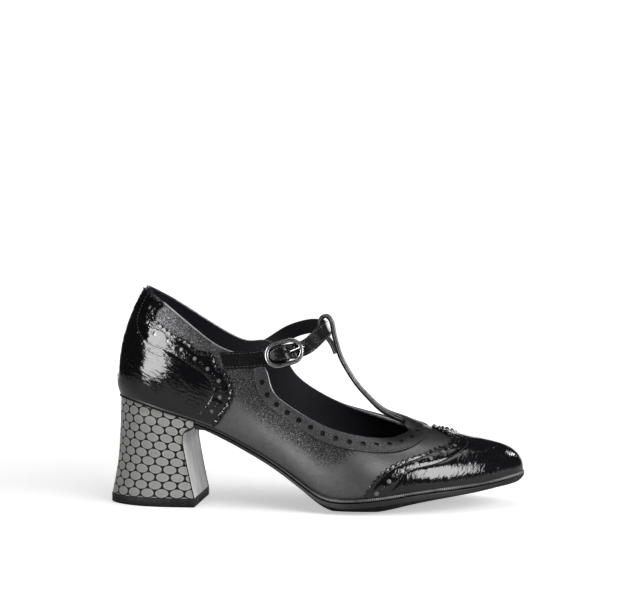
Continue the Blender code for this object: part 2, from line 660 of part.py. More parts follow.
def build_strap(finish):
    """Strap from its tip in the buckle, through the T-bar's loop, to the inner quarter."""
    axes, _ = buckle_matrix()
    tip = [at_buckle((along, 0.0, out)) for along, out in STRAP_AT_BUCKLE]
    over = np.array(STRAP_OVER_INSTEP)
    inner_t = KNOTS[len(STATIONS) + COUNTER_FRONT[1]]
    end, end_normals = on_wall(STRAP_ON_QUARTER, (inner_t, 0.9), OVERLAY_GAP + STRAP / 2)
    centres = np.vstack([tip, over[:, :3], end])
    normals = np.vstack([np.tile(axes[:, 2], (len(tip), 1)), over[:, 3:], end_normals])
    knots = chord_knots(centres)
    hole = [np.interp(a, [p[0] for p in STRAP_AT_BUCKLE], knots[:len(tip)]) for a in STRAP_HOLE]
    before = np.linspace(0.0, hole[0], TIP_SECTIONS)
    after = np.linspace(hole[1], knots[-1], STRAP_SECTIONS)
    at = np.concatenate([before, [sum(hole) / 2], after])
    taper = np.interp(at, *np.transpose(STRAP_TIP)) * STRAP_HALF_WIDTH
    slot = PRONG_SLOT_HALF / STRAP_HALF_WIDTH
    points = ribbon(centres, normals, taper, at, (-1.0, -slot, slot, 1.0))
    skip = {(len(before) - 1, 1), (len(before), 1)}
    faces = grid_faces(len(at), 4, skip=skip)
    return add_sheet("strap", points.reshape(-1, 3), faces, finish, STRAP, 0)


def build_buckle_tab(finish):
    """Tab on the outer quarter, folded round the buckle's bar and slotted for the prong."""
    axes, _ = buckle_matrix()
    start_t = (KNOTS[TAB_STATION] + KNOTS[TAB_STATION + 1]) / 2
    base, base_normals = on_wall(TAB_ON_QUARTER, (start_t, 0.9), OVERLAY_GAP + TAB / 2)
    radius = BAR_WIRE + GAP + TAB / 2
    fold = [(TAB_FOLD[0], TAB_DEPTH, 0.0, 1.0)]
    for angle in np.linspace(-math.pi / 2, math.pi / 2, FOLD_STEPS):
        fold.append((radius * math.cos(angle), BAR_DEPTH + radius * math.sin(angle),
                     -math.cos(angle), -math.sin(angle)))
    fold.append((TAB_FOLD[1], BAR_DEPTH + radius, 0.0, -1.0))
    bend = [at_buckle((along, 0.0, out)) for along, out, _, _ in fold]
    bend_normals = [axes @ (n_along, 0.0, n_out) for _, _, n_along, n_out in fold]
    centres, normals = np.vstack([base, bend]), np.vstack([base_normals, bend_normals])
    slot = TAB_SLOT_HALF / TAB_HALF_WIDTH
    at = np.linspace(0.0, chord_knots(centres)[-1], TAB_SECTIONS)
    points = ribbon(centres, normals, TAB_HALF_WIDTH, at, (-1.0, -slot, slot, 1.0))
    along_buckle = (points.mean(axis=1) - BUCKLE_CENTRE) @ axes[:, 0]
    first = int(np.argmax(along_buckle > TAB_SLOT_START))
    skip = {(i, 1) for i in range(first, TAB_SECTIONS)}
    faces = grid_faces(TAB_SECTIONS, 4, skip=skip)
    return add_sheet("buckle_tab", points.reshape(-1, 3), faces, finish, TAB, 0)


def wire(name, points, radius, closed):
    """Round wire along points of the last's frame, as a mesh."""
    curve = bpy.data.curves.new(name, "CURVE")
    curve.dimensions = "3D"
    curve.bevel_depth = radius * 0.001
    curve.bevel_resolution = WIRE_RESOLUTION
    curve.use_fill_caps = not closed
    run = curve.splines.new("POLY")
    run.points.add(len(points) - 1)
    for point, position in zip(run.points, place(points)):
        point.co = (*position, 1.0)
    run.use_cyclic_u = closed
    item = bpy.data.objects.new(name, curve)
    bpy.context.scene.collection.objects.link(item)
    evaluated = item.evaluated_get(bpy.context.evaluated_depsgraph_get())
    mesh = bpy.data.meshes.new_from_object(evaluated)
    bpy.data.objects.remove(item)
    solid = bmesh.new()
    solid.from_mesh(mesh)
    bmesh.ops.remove_doubles(solid, verts=solid.verts, dist=MERGE)
    bmesh.ops.recalc_face_normals(solid, faces=solid.faces)
    solid.to_mesh(mesh)
    solid.free()
    mesh.shade_smooth()
    return mesh


def ring_path():
    """Middle line of the oval ring, in the buckle's frame."""
    radius = RING_WIDTH / 2 - RING_WIRE
    straight = RING_LENGTH / 2 - RING_WIRE - radius
    points = []
    for side, start in ((1.0, -math.pi / 2), (-1.0, math.pi / 2)):
        for angle in np.linspace(start, start + math.pi, RING_CORNER_STEPS):
            points.append((side * straight + radius * math.cos(angle), radius * math.sin(angle), 0.0))
    return points


def build_buckle_frame(finish):
    """Oval ring joined to its centre bar."""
    frame = add_object("buckle_frame", wire("buckle_frame", at_buckle(ring_path()), RING_WIRE, True), finish)
    reach = RING_WIDTH / 2 - RING_WIRE
    bar_path = at_buckle([(0.0, -reach, BAR_DEPTH), (0.0, reach, BAR_DEPTH)])
    bar = bpy.data.objects.new("buckle_bar", wire("buckle_bar", bar_path, BAR_WIRE, False))
    CUTTERS.objects.link(bar)
    bar.hide_render = True
    bar.display_type = "WIRE"
    join = frame.modifiers.new("bar", "BOOLEAN")
    join.operation = "UNION"
    join.solver = "EXACT"
    join.object = bar
    return frame


def build_buckle_prong(finish):
    """Pin curled round the bar, through the strap and over the end of the ring."""
    radius = BAR_WIRE + GAP + PRONG_WIRE
    end = RING_LENGTH / 2 - RING_WIRE
    over = RING_WIRE + GAP + PRONG_WIRE
    path = [(radius * math.cos(a), 0.0, BAR_DEPTH + radius * math.sin(a))
            for a in np.radians(np.linspace(*PRONG_CURL, PRONG_CURL_STEPS))]
    path += [(along, 0.0, out) for along, out in PRONG_RISE]
    path += [(end + along, 0.0, over) for along in PRONG_CREST]
    path.append((end + RING_WIRE + PRONG_TIP, 0.0, RING_WIRE))
    mesh = wire("buckle_prong", at_buckle(path), PRONG_WIRE, False)
    return add_object("buckle_prong", mesh, finish)


def build_shoe():
    """Build every sub-part with its finish: colour, roughness and metallic value."""
    patent = ((0.012, 0.012, 0.014), 0.12)
    charcoal = ((0.060, 0.060, 0.064), 0.38)
    sole = ((0.020, 0.020, 0.021), 0.45)
    metal = ((0.32, 0.32, 0.33), 0.22, 1.0)
    build_outsole(sole)
    build_midsole(sole)
    build_insole(((0.014, 0.015, 0.024), 0.60))
    build_heel_block(((0.46, 0.46, 0.43), 0.42))
    build_heel_lift(((0.014, 0.014, 0.014), 0.50))
    build_upper(charcoal)
    build_overlay("toe_wing", round_toe(WING_END), FOOT_ROW, TRIM_ROW, patent)
    build_overlay("counter", round_heel(COUNTER_FRONT), FOOT_ROW, TRIM_ROW, patent)
    build_overlay("facing", round_toe(FACING_END), FACING_ROW, TOP_ROW, charcoal)
    build_strap(patent)
    build_buckle_tab(patent)
    build_buckle_frame(metal)
    build_buckle_prong(metal)


for old in list(bpy.data.objects):
    bpy.data.objects.remove(old, do_unlink=True)
SHOE = bpy.data.collections.new("t_strap_shoe")
CUTTERS = bpy.data.collections.new("t_strap_shoe_cutters")
for collection in (SHOE, CUTTERS):
    bpy.context.scene.collection.children.link(collection)
build_shoe()
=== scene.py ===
"""Looks of a T-strap pump with brogue trim and a covered block heel: one right shoe on a pale studio floor.

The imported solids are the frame. Lengths are in millimetres in the last's own frame, which starts at the heel
point of the foot line, with the toe along +X and the outer side towards -Y. Last.place moves them to the
frame's metres. A place on the upper is a pair: its station round the shoe, from the heel along the outer side
to the toe and back along the inner side, and its share of the way from foot line to top line.
"""

import logging
import math
from dataclasses import dataclass, field
from enum import Enum
from functools import cached_property
from typing import Callable, NamedTuple, Optional, Sequence

import bmesh
import bpy
import numpy as np
from mathutils import Matrix, Vector


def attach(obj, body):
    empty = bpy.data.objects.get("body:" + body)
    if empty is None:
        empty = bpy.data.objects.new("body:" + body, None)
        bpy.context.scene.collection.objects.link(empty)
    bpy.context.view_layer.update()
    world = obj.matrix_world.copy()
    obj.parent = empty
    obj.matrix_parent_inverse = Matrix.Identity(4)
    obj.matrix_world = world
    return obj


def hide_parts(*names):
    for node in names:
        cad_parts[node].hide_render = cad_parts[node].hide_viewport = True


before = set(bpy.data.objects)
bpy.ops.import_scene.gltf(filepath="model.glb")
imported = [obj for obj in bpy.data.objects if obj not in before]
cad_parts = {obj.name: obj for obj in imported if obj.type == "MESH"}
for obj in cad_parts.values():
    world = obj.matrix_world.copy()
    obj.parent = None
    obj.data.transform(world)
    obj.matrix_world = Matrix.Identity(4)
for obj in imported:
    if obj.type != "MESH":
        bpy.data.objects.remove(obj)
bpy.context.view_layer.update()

logging.basicConfig(level=logging.INFO, format="%(message)s")
LOG = logging.getLogger("t_strap_shoe")

Array = np.ndarray
Colour = tuple[float, float, float]
Pair = tuple[float, float]
Triple = tuple[float, float, float]
MM = 0.001
BODY = "root"
MERGE = 1e-6
SMALL = 1e-4
SHARP_ANGLE = 42.0


class Slot(Enum):
    """Material slots of the record."""

    SOLE = "sole"
    LINING = "lining"
    HEEL_COVER = "heel_cover"
    LIFT = "lift"
    LEATHER = "metallic_leather"
    PATENT = "patent"
    METAL = "gunmetal"


class Pattern(Enum):
    """Surface detail of a finish."""

    GRAIN = "grain"
    CRINKLE = "crinkle"
    SMOOTH = "smooth"
    RIBBED = "ribbed"
    OVALS = "ovals"


def unit(vectors: Array) -> Array:
    """Vectors scaled to length one."""
    vectors = np.asarray(vectors, float)
    return vectors / np.linalg.norm(vectors, axis=-1, keepdims=True)


def chord_knots(points: Array) -> Array:
    """Knots that grow with the distance between successive points."""
    steps = np.linalg.norm(np.diff(np.asarray(points, float), axis=0), axis=1)
    return np.concatenate([[0.0], np.cumsum(steps)])


def read_line(at: Array, measured: Array, rows: Array) -> Array:
    """Rows of numbers along a line, read at other distances.

    Args:
        at: distances to read at.
        measured: distances of the rows.
        rows: the rows.

    Returns:
        A row for each distance.
    """
    return np.column_stack([np.interp(at, measured, column) for column in rows.T])


def mirrored(table: Sequence[Pair], turn: float) -> list[Pair]:
    """Places of the other side of the shoe, in the opposite order.

    Args:
        table: places (station, share) of the outer side.
        turn: station that the mirrored stations count back from.

    Returns:
        The mirrored places, last one first.
    """
    return [(turn - station, share) for station, share in reversed(table)]


class Spline:
    """Smooth cubic curve through rows of numbers, one row for each knot."""

    def __init__(self, knots: Array, rows: Array, closed: bool = False) -> None:
        """Work out the bends of the curve.

        Args:
            knots: rising parameters; a closed curve has one more of them than rows.
            rows: values at the knots.
            closed: whether the curve runs on to its start.
        """
        self.knots = np.asarray(knots, float)
        self.rows = np.asarray(rows, float)
        self.closed = closed
        self.step = np.diff(self.knots)
        step, count = self.step, len(self.rows)
        system = np.eye(count)
        right = np.zeros_like(self.rows)
        for k in range(count) if closed else range(1, count - 1):
            after = (k + 1) % count
            system[k, k] = 2.0 * (step[k - 1] + step[k])
            system[k, k - 1] = step[k - 1]
            system[k, after] = step[k]
            right[k] = 6.0 * ((self.rows[after] - self.rows[k]) / step[k]
                              - (self.rows[k] - self.rows[k - 1]) / step[k - 1])
        self.bend = np.linalg.solve(system, right)

    def __call__(self, at: Array) -> Array:
        """Values of the curve at the parameters at."""
        at = np.asarray(at, float)
        if self.closed:
            at = np.mod(at, self.knots[-1])
        k = np.clip(np.searchsorted(self.knots, at, side="right") - 1, 0, len(self.step) - 1)
        after = (k + 1) % len(self.rows)
        w = np.asarray((at - self.knots[k]) / self.step[k])[..., None]
        v = 1.0 - w
        reach = np.asarray(self.step[k] ** 2 / 6.0)[..., None]
        straight = v * self.rows[k] + w * self.rows[after]
        return straight + reach * ((v ** 3 - v) * self.bend[k] + (w ** 3 - w) * self.bend[after])


@dataclass(frozen=True)
class PhotoCamera:
    """Level camera of the photograph, in the object's frame."""

    eye: Triple = (0.0618, -0.6768, 0.118)
    heading: float = 5.0
    image: tuple[int, int] = (640, 593)
    focal_pixels: float = 1187.0
    sensor: float = 36.0

    def pixels(self, points: Array) -> Array:
        """Pixels of the photograph where points of the object lie."""
        turn = math.radians(self.heading)
        ray = np.asarray(points, float) - self.eye
        depth = ray @ (-math.sin(turn), math.cos(turn), 0.0)
        right = ray @ (math.cos(turn), math.sin(turn), 0.0)
        from_middle = np.stack([right, -ray[..., 2]], axis=-1) / depth[..., None]
        return np.array(self.image) / 2 + self.focal_pixels * from_middle

    def place(self) -> None:
        """Put the camera in the scene."""
        data = bpy.data.cameras.new("photo_camera")
        data.sensor_fit = "HORIZONTAL"
        data.sensor_width = self.sensor
        data.lens = self.sensor * self.focal_pixels / self.image[0]
        camera = bpy.data.objects.new("photo_camera", data)
        camera.location = self.eye
        camera.rotation_euler = (math.radians(90.0), 0.0, math.radians(self.heading))
        bpy.context.scene.collection.objects.link(camera)
        bpy.context.scene.camera = camera
        LOG.info("photo_camera: placed")


CAMERA = PhotoCamera()


class Station(NamedTuple):
    """One section of the upper from foot line to top line.

    Lengths along are percent of the last's length, lengths across percent of its ball width, heights percent
    of its collar height. The handles of the section's curve are in millimetres.
    """

    foot_along: float
    foot_across: float
    top_along: float
    top_across: float
    top_height: float
    rise: float
    flare: float
    drop: float
    swell: float


OUTER_SIDE = (
    Station(0.0, 0.0, 6.6, 0.0, 100.0, 20.0, 2.0, 22.0, 4.5),      # heel
    Station(3.9, -21.9, 10.4, -17.8, 95.2, 19.0, 1.6, 20.0, 4.5),  # heel corner
    Station(9.1, -31.1, 15.4, -26.9, 88.4, 18.0, 1.4, 18.0, 4.0),  # heel side
    Station(14.3, -34.3, 21.5, -32.5, 79.6, 16.0, 1.6, 16.0, 3.5),  # collar
    Station(19.1, -34.8, 26.9, -35.1, 72.7, 15.0, 2.0, 14.0, 3.0),  # counter
    Station(23.9, -34.8, 32.1, -36.1, 69.3, 14.0, 2.6, 13.0, 2.8),  # tab
    Station(27.6, -34.8, 36.1, -36.8, 66.9, 13.0, 3.2, 11.0, 2.6),  # counter front
    Station(31.1, -35.0, 38.5, -37.1, 61.9, 12.0, 3.6, 8.0, 2.6),  # facing end
    Station(35.6, -36.0, 39.8, -37.7, 54.1, 11.0, 4.0, 7.0, 2.4),  # shank
    Station(42.1, -39.4, 44.1, -39.7, 46.5, 11.0, 4.0, 9.0, 2.4),  # waist
    Station(50.8, -46.2, 52.1, -40.9, 38.2, 10.0, 3.4, 9.0, 2.8),  # joint
    Station(60.4, -50.7, 61.3, -38.0, 33.0, 9.0, 2.6, 8.0, 3.2),   # wing end
    Station(67.3, -49.3, 68.0, -29.0, 31.7, 8.5, 2.2, 4.5, 3.0),   # ball
    Station(74.3, -45.1, 71.7, -19.1, 33.0, 8.5, 2.0, 1.5, 2.0),   # cut-out front
    Station(82.5, -36.4, 72.5, -13.6, 35.3, 11.6, 1.6, 4.8, -0.8),  # vamp
    Station(90.8, -23.0, 71.7, -8.2, 38.0, 16.4, 1.4, 9.6, -2.4),  # T-bar edge
    Station(97.1, -8.2, 71.9, -4.0, 39.1, 19.0, 1.2, 13.9, -3.6),  # toe corner
    Station(100.0, 5.3, 71.9, 0.5, 39.3, 20.0, 1.0, 16.0, -4.0),  # toe
)
INNER_SIDE = (
    Station(97.7, 18.5, 71.9, 5.0, 39.1, 19.0, 1.2, 13.9, -3.6),   # toe corner
    Station(92.5, 31.1, 71.7, 9.0, 38.3, 16.4, 1.4, 9.6, -2.4),   # T-bar edge
    Station(85.1, 42.0, 72.5, 14.0, 36.5, 12.0, 1.8, 4.8, -0.8),   # vamp
    Station(77.3, 47.8, 71.7, 18.9, 35.6, 9.5, 2.2, 1.5, 2.0),     # cut-out front
    Station(69.9, 48.8, 68.0, 26.4, 37.2, 10.0, 2.6, 5.0, 3.0),    # ball
    Station(62.1, 43.9, 61.7, 33.2, 40.1, 11.0, 3.4, 8.0, 3.2),    # wing end
    Station(51.7, 32.7, 53.4, 36.4, 45.1, 12.0, 4.8, 9.0, 2.6),    # joint
    Station(43.0, 27.4, 45.8, 36.9, 52.8, 13.0, 5.6, 10.0, 2.2),   # waist
    Station(36.1, 27.2, 41.7, 36.1, 60.7, 14.0, 5.6, 9.0, 2.2),    # shank
    Station(31.3, 28.9, 38.9, 35.1, 69.6, 14.0, 4.8, 10.0, 2.4),   # facing end
    Station(27.6, 30.6, 35.4, 35.1, 73.7, 14.0, 4.0, 12.0, 2.6),   # counter front
    Station(23.9, 32.3, 31.3, 35.4, 73.5, 15.0, 3.2, 14.0, 2.8),   # strap end
    Station(19.1, 33.8, 26.1, 34.3, 76.9, 15.0, 2.2, 14.0, 3.0),   # counter
    Station(14.3, 33.8, 21.1, 32.2, 82.5, 16.0, 1.6, 16.0, 3.5),   # collar
    Station(9.1, 30.9, 15.2, 27.4, 89.9, 18.0, 1.4, 18.0, 4.0),    # heel side
    Station(3.9, 21.9, 10.4, 17.8, 95.7, 19.0, 1.6, 20.0, 4.5),    # heel corner
)
STATIONS = len(OUTER_SIDE) + len(INNER_SIDE)
TOE_STATION = len(OUTER_SIDE) - 1
T_BAR_EDGES = (TOE_STATION - 2, TOE_STATION + 2)
# Height of the foot line along the shoe: percent of the last's length, percent of its seat height
FOOT_LINE = (
    (-2.6, 101.5), (4.3, 97.6), (13.0, 88.5), (21.7, 78.8), (27.8, 69.7), (33.4, 59.0), (39.1, 47.3),
    (44.7, 34.0), (48.7, 23.7), (52.1, 16.5), (55.6, 13.9), (60.8, 14.4), (66.9, 16.9), (74.7, 21.2),
    (82.9, 24.0), (91.7, 27.1), (97.3, 30.2), (101.7, 32.9),
)


@dataclass
class Last:
    """Surface that the upper is made over, with the sizes that drive it."""

    length: float = 230.2
    ball_width: float = 75.8
    collar_height: float = 124.3
    seat_height: float = 61.7
    origin: Triple = (113.5, -0.6, 0.0)
    top_handle_share: float = 0.62
    arch_lift: float = 2.0
    arch_middle: float = 0.39
    arch_spread: float = 0.10
    arch_edges: Pair = (-28.0, 22.0)
    seek_rounds: int = 20
    seek_limit: Pair = (0.6, 0.1)
    seen_steps: tuple[int, int] = (851, 251)    # round the outer side and up the wall

    def __post_init__(self) -> None:
        """Read the tables into smooth curves."""
        rows = np.array(OUTER_SIDE + INNER_SIDE)
        percent_of = (self.length, self.ball_width, self.length, self.ball_width, self.collar_height)
        rows[:, :len(percent_of)] *= np.array(percent_of) / 100.0
        loop = chord_knots(np.vstack([rows, rows[:1]])[:, :len(percent_of)])
        self.knots = loop / loop[-1]
        self.sections = Spline(self.knots, rows, closed=True)
        foot = np.array(FOOT_LINE)
        self.foot_line = Spline(foot[:, 0] * self.length / 100.0, foot[:, 1:] * self.seat_height / 100.0)

    def place(self, points: Array) -> Array:
        """Points of the last's frame, in millimetres, in the object's frame in metres."""
        return (np.asarray(points, float) - self.origin) * MM

    def turn(self, stations: Array) -> Array:
        """Share of the way round the shoe of each station."""
        return np.interp(np.mod(stations, STATIONS), np.arange(STATIONS + 1), self.knots)

    def foot_height(self, along: Array, across: Array) -> Array:
        """Height of the foot line, a little higher on the inner side of the arch."""
        along = np.asarray(along, float)
        outer, inner = self.arch_edges
        arch = np.exp(-((along / self.length - self.arch_middle) / self.arch_spread) ** 2)
        return self.foot_line(along)[..., 0] + self.arch_lift * arch * (across - outer) / (inner - outer)

    def foot_plan(self, turn: Array) -> tuple[Array, Array]:
        """Foot line in plan and its outward direction, at shares of the way round."""
        run = unit((self.sections(turn + SMALL) - self.sections(turn - SMALL))[..., :2])
        return self.sections(turn)[..., :2], np.stack([run[..., 1], -run[..., 0]], axis=-1)

    def _surface(self, turn: Array, share: Array) -> Array:
        """Outer face of the upper at shares of the way round and up."""
        row = self.sections(turn)
        plan, out = self.foot_plan(turn)
        foot = np.concatenate([plan, self.foot_height(plan[..., 0], plan[..., 1])[..., None]], axis=-1)
        top = row[..., 2:5]
        rise, flare, drop, swell = (row[..., k:k + 1] for k in range(5, 9))
        low = foot + np.concatenate([out * flare, rise], axis=-1)
        inward = (foot - top)[..., :2] * self.top_handle_share
        high = top + np.concatenate([inward + out * swell, -drop], axis=-1)
        h = share[..., None]
        g = 1.0 - h
        return g ** 3 * foot + 3 * h * g ** 2 * low + 3 * h ** 2 * g * high + h ** 3 * top

    def wall(self, stations: Array, shares: Array, lift: Array = 0.0) -> Array:
        """Points of the upper's outer face.

        Args:
            stations: places round the shoe.
            shares: places from foot line to top line.
            lift: distance outside the face.

        Returns:
            Points in the last's frame.
        """
        stations, shares = np.broadcast_arrays(np.asarray(stations, float), np.asarray(shares, float))
        points = self._surface(self.turn(stations), shares)
        if np.any(lift):
            points = points + self.normal(stations, shares) * np.asarray(lift)[..., None]
        return points

    def on(self, places: Array, lift: Array = 0.0) -> Array:
        """Points of the upper's outer face at places (station, share), lift outside it."""
        return self.wall(places[..., 0], places[..., 1], lift)

    @cached_property
    def shown(self) -> tuple[Array, Array]:
        """Places of the outer side, close together, and the pixels where the photograph has them."""
        stations = np.linspace(0.0, TOE_STATION, self.seen_steps[0])
        shares = np.linspace(0.0, 1.0, self.seen_steps[1])
        places = np.stack(np.meshgrid(stations, shares, indexing="ij"), axis=-1).reshape(-1, 2)
        return places, CAMERA.pixels(self.place(self.on(places)))

    def seen(self, pixels: Sequence[Pair]) -> list[Pair]:
        """Places of the outer side that lie nearest to pixels of the photograph."""
        places, shown = self.shown
        nearest = [np.argmin(np.linalg.norm(shown - np.array(pixel), axis=1)) for pixel in pixels]
        return [tuple(places[k]) for k in nearest]

    def normal(self, stations: Array, shares: Array) -> Array:
        """Outward direction of the upper's outer face."""
        stations, shares = np.broadcast_arrays(np.asarray(stations, float), np.asarray(shares, float))
        turn = self.turn(stations)
        onward = self._surface(turn + SMALL, shares) - self._surface(turn - SMALL, shares)
        upward = self._surface(turn, shares + SMALL) - self._surface(turn, shares - SMALL)
        return unit(np.cross(onward, upward))

    def find(self, along: float, height: float, start: Pair) -> Pair:
        """Find the place of the wall's point with this place along and this height.

        Args:
            along: distance along the shoe.
            height: height above the floor.
            start: a place near it.

        Returns:
            Its station and share.
        """
        here = np.array(start, float)
        limit = np.array(self.seek_limit)
        for _ in range(self.seek_rounds):
            point = self.wall(*here)
            slopes = np.column_stack([
                self.wall(here[0] + SMALL, here[1]) - point,
                self.wall(here[0], here[1] + SMALL) - point,
            ])[[0, 2]] / SMALL
            miss = np.array([along - point[0], height - point[2]])
            here += np.clip(np.linalg.solve(slopes, miss), -limit, limit)
        return float(here[0]), float(here[1])


LAST = Last()


class Sheet:
    """Grid from create_grid whose points are moved to their places on the shoe."""

    def __init__(self, points: Array, mesh: Optional[bmesh.types.BMesh] = None,
                 flat: Optional[Array] = None) -> None:
        """Lay the grid out and bend it.

        Args:
            points: place of each point in the last's frame, columns by rows.
            mesh: mesh to add the grid to.
            flat: UV place of each point, columns by rows.
        """
        columns, rows = points.shape[:2]
        self.mesh = bmesh.new() if mesh is None else mesh
        layer = self.mesh.loops.layers.uv.verify()
        made = bmesh.ops.create_grid(self.mesh, x_segments=columns - 1, y_segments=rows - 1, size=0.5)
        self.verts = made["verts"]
        grid = np.array([vertex.co[:2] for vertex in self.verts]) + 0.5
        self.column = np.rint(grid[:, 0] * (columns - 1)).astype(int)
        self.row = np.rint(grid[:, 1] * (rows - 1)).astype(int)
        for vertex, place in zip(self.verts, LAST.place(points[self.column, self.row])):
            vertex.co = place
        if flat is not None:
            unrolled = dict(zip(self.verts, flat[self.column, self.row]))
            for face in {face for vertex in self.verts for face in vertex.link_faces}:
                for loop in face.loops:
                    loop[layer].uv = unrolled[loop.vert]

    def faces_where(self, chosen: Array) -> list[bmesh.types.BMFace]:
        """Faces whose corners all lie where chosen, columns by rows, is true."""
        inside = {vertex for vertex, c, r in zip(self.verts, self.column, self.row) if chosen[c, r]}
        touched = {face for vertex in inside for face in vertex.link_faces}
        return [face for face in touched if all(vertex in inside for vertex in face.verts)]

    def close(self) -> "Sheet":
        """Join the points that meet at seams and poles."""
        bmesh.ops.remove_doubles(self.mesh, verts=self.mesh.verts[:], dist=MERGE)
        return self

    def seal(self) -> list[bmesh.types.BMFace]:
        """Fill the open rims, turn all faces outwards and return the new faces."""
        rims = [edge for edge in self.mesh.edges if edge.is_boundary]
        caps = bmesh.ops.holes_fill(self.mesh, edges=rims, sides=0)["faces"]
        bmesh.ops.recalc_face_normals(self.mesh, faces=self.mesh.faces[:])
        return caps

    def thicken(self, thickness: float) -> "Sheet":
        """Give the sheet a thickness, inwards from its outer face."""
        self.mesh.normal_update()
        inner = [(vertex, vertex.normal.copy()) for vertex in self.mesh.verts]
        bmesh.ops.extrude_face_region(self.mesh, geom=self.mesh.faces[:])
        for vertex, normal in inner:
            vertex.co -= normal * (thickness * MM)
        return self

    def punch(self, centres: Array, radius: float) -> "Sheet":
        """Cut round holes and draw their rims on to circles.

        Args:
            centres: middles of the holes in the last's frame.
            radius: radius of each hole.

        Returns:
            The sheet itself.
        """
        verts = self.mesh.verts[:]
        places = np.array([vertex.co for vertex in verts])
        reach = radius * MM
        cut: set[bmesh.types.BMFace] = set()
        rims: dict[bmesh.types.BMVert, Vector] = {}
        for centre in LAST.place(centres):
            for k in np.flatnonzero(np.linalg.norm(places - centre, axis=1) < reach):
                cut.update(verts[k].link_faces)
                for face in verts[k].link_faces:
                    rims.update({vertex: Vector(centre) for vertex in face.verts})
        bmesh.ops.delete(self.mesh, geom=list(cut), context="FACES")
        for vertex, centre in rims.items():
            if vertex.is_valid:
                vertex.co = centre + (vertex.co - centre).normalized() * reach
        return self


def tube(path: Array, out: Array, radius: Array, sides: int,
         mesh: Optional[bmesh.types.BMesh] = None) -> Sheet:
    """Round bead or wire along a path.

    Args:
        path: points of its middle line.
        out: direction at each point that the section's first axis takes.
        radius: radius, one for all points or one for each.
        sides: faces round the section.
        mesh: mesh to add the tube to.

    Returns:
        The tube with its ends closed.
    """
    path = np.asarray(path, float)
    tangent = unit(np.gradient(path, axis=0))
    side = unit(np.cross(out, tangent))
    across = np.cross(tangent, side)
    angle = np.linspace(0.0, 2.0 * math.pi, sides + 1)[None, :, None]
    reach = np.broadcast_to(radius, len(path))[:, None, None]
    ring = np.cos(angle) * across[:, None] + np.sin(angle) * side[:, None]
    sheet = Sheet(path[:, None] + reach * ring, mesh=mesh).close()
    sheet.seal()
    return sheet


def add_piece(name: str, mesh: bmesh.types.BMesh, dress: Sequence[bpy.types.Material],
              stands_for: Sequence[str] = (), sharp: float = SHARP_ANGLE) -> bpy.types.Object:
    """Put a finished mesh in the scene as a piece of the shoe.

    Args:
        name: name of the piece.
        mesh: its mesh, which is freed.
        dress: its materials in the order of the faces' material numbers.
        stands_for: solids that it replaces.
        sharp: angle in degrees past which an edge stays sharp.

    Returns:
        The new object.
    """
    data = bpy.data.meshes.new(name)
    mesh.to_mesh(data)
    mesh.free()
    data.shade_smooth()
    data.set_sharp_from_angle(angle=math.radians(sharp))
    for material in dress:
        data.materials.append(material)
    piece = bpy.data.objects.new(name, data)
    bpy.context.scene.collection.objects.link(piece)
    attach(piece, BODY)
    if stands_for:
        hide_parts(*stands_for)
    data.calc_loop_triangles()
    LOG.info("%s: %d triangles", name, len(data.loop_triangles))
    return piece


class Board:
    """Short way to place and join shader nodes in one tree."""

    def __init__(self, tree: bpy.types.NodeTree) -> None:
        """Keep the tree that the nodes go to."""
        self.tree = tree

    def add(self, kind: str, values: Optional[dict] = None, **settings: object) -> bpy.types.Node:
        """Place a node.

        Args:
            kind: type of the node.
            values: numbers or sockets for its inputs, by name or number.
            settings: values of its properties.

        Returns:
            The node.
        """
        node = self.tree.nodes.new(kind)
        for name, value in settings.items():
            setattr(node, name, value)
        for name, value in (values or {}).items():
            if isinstance(value, bpy.types.NodeSocket):
                self.tree.links.new(value, node.inputs[name])
            else:
                node.inputs[name].default_value = value
        return node

    def join(self, source: bpy.types.NodeSocket, target: bpy.types.NodeSocket) -> None:
        """Join an output to an input."""
        self.tree.links.new(source, target)

    def noise(self, place: object, scale: object, detail: float = 2.0, **more: float) -> bpy.types.NodeSocket:
        """Value of a Noise Texture node."""
        values = {"Vector": place, "Scale": scale, "Detail": detail, **more}
        return self.add("ShaderNodeTexNoise", values).outputs["Fac"]

    def math(self, operation: str, *values: object) -> bpy.types.NodeSocket:
        """Result of a Math node."""
        return self.add("ShaderNodeMath", dict(enumerate(values)), operation=operation).outputs[0]

    def stretch(self, value: bpy.types.NodeSocket, low: object, high: object,
                to_low: float = 0.0, to_high: float = 1.0) -> bpy.types.NodeSocket:
        """Value carried smoothly from one range to another."""
        values = {0: value, 1: low, 2: high, 3: to_low, 4: to_high}
        node = self.add("ShaderNodeMapRange", values, interpolation_type="SMOOTHSTEP")
        return node.outputs[0]

    def blend(self, share: object, first: object, second: object) -> bpy.types.NodeSocket:
        """Colour between two colours."""
        node = self.add("ShaderNodeMix", data_type="RGBA")
        for number, value in ((0, share), (6, first), (7, second)):
            if isinstance(value, bpy.types.NodeSocket):
                self.tree.links.new(value, node.inputs[number])
            else:
                node.inputs[number].default_value = value if number == 0 else (*value, 1.0)
        return node.outputs[2]


GROUP_INPUTS = {"Vector": "NodeSocketVector", "Scale": "NodeSocketFloat", "Calm": "NodeSocketFloat"}
GROUP_OUTPUTS = ("Height", "Mask")


def shader_group(name: str) -> tuple[Board, bpy.types.NodeOutputs]:
    """Start a node group that puts out a relief's height and a mask between two colours.

    Args:
        name: name of the group.

    Returns:
        The group's board and its input sockets by name.
    """
    tree = bpy.data.node_groups.new(name, "ShaderNodeTree")
    for label, kind in GROUP_INPUTS.items():
        tree.interface.new_socket(label, in_out="INPUT", socket_type=kind)
    for label in GROUP_OUTPUTS:
        tree.interface.new_socket(label, in_out="OUTPUT", socket_type="NodeSocketFloat")
    board = Board(tree)
    return board, board.add("NodeGroupInput").outputs


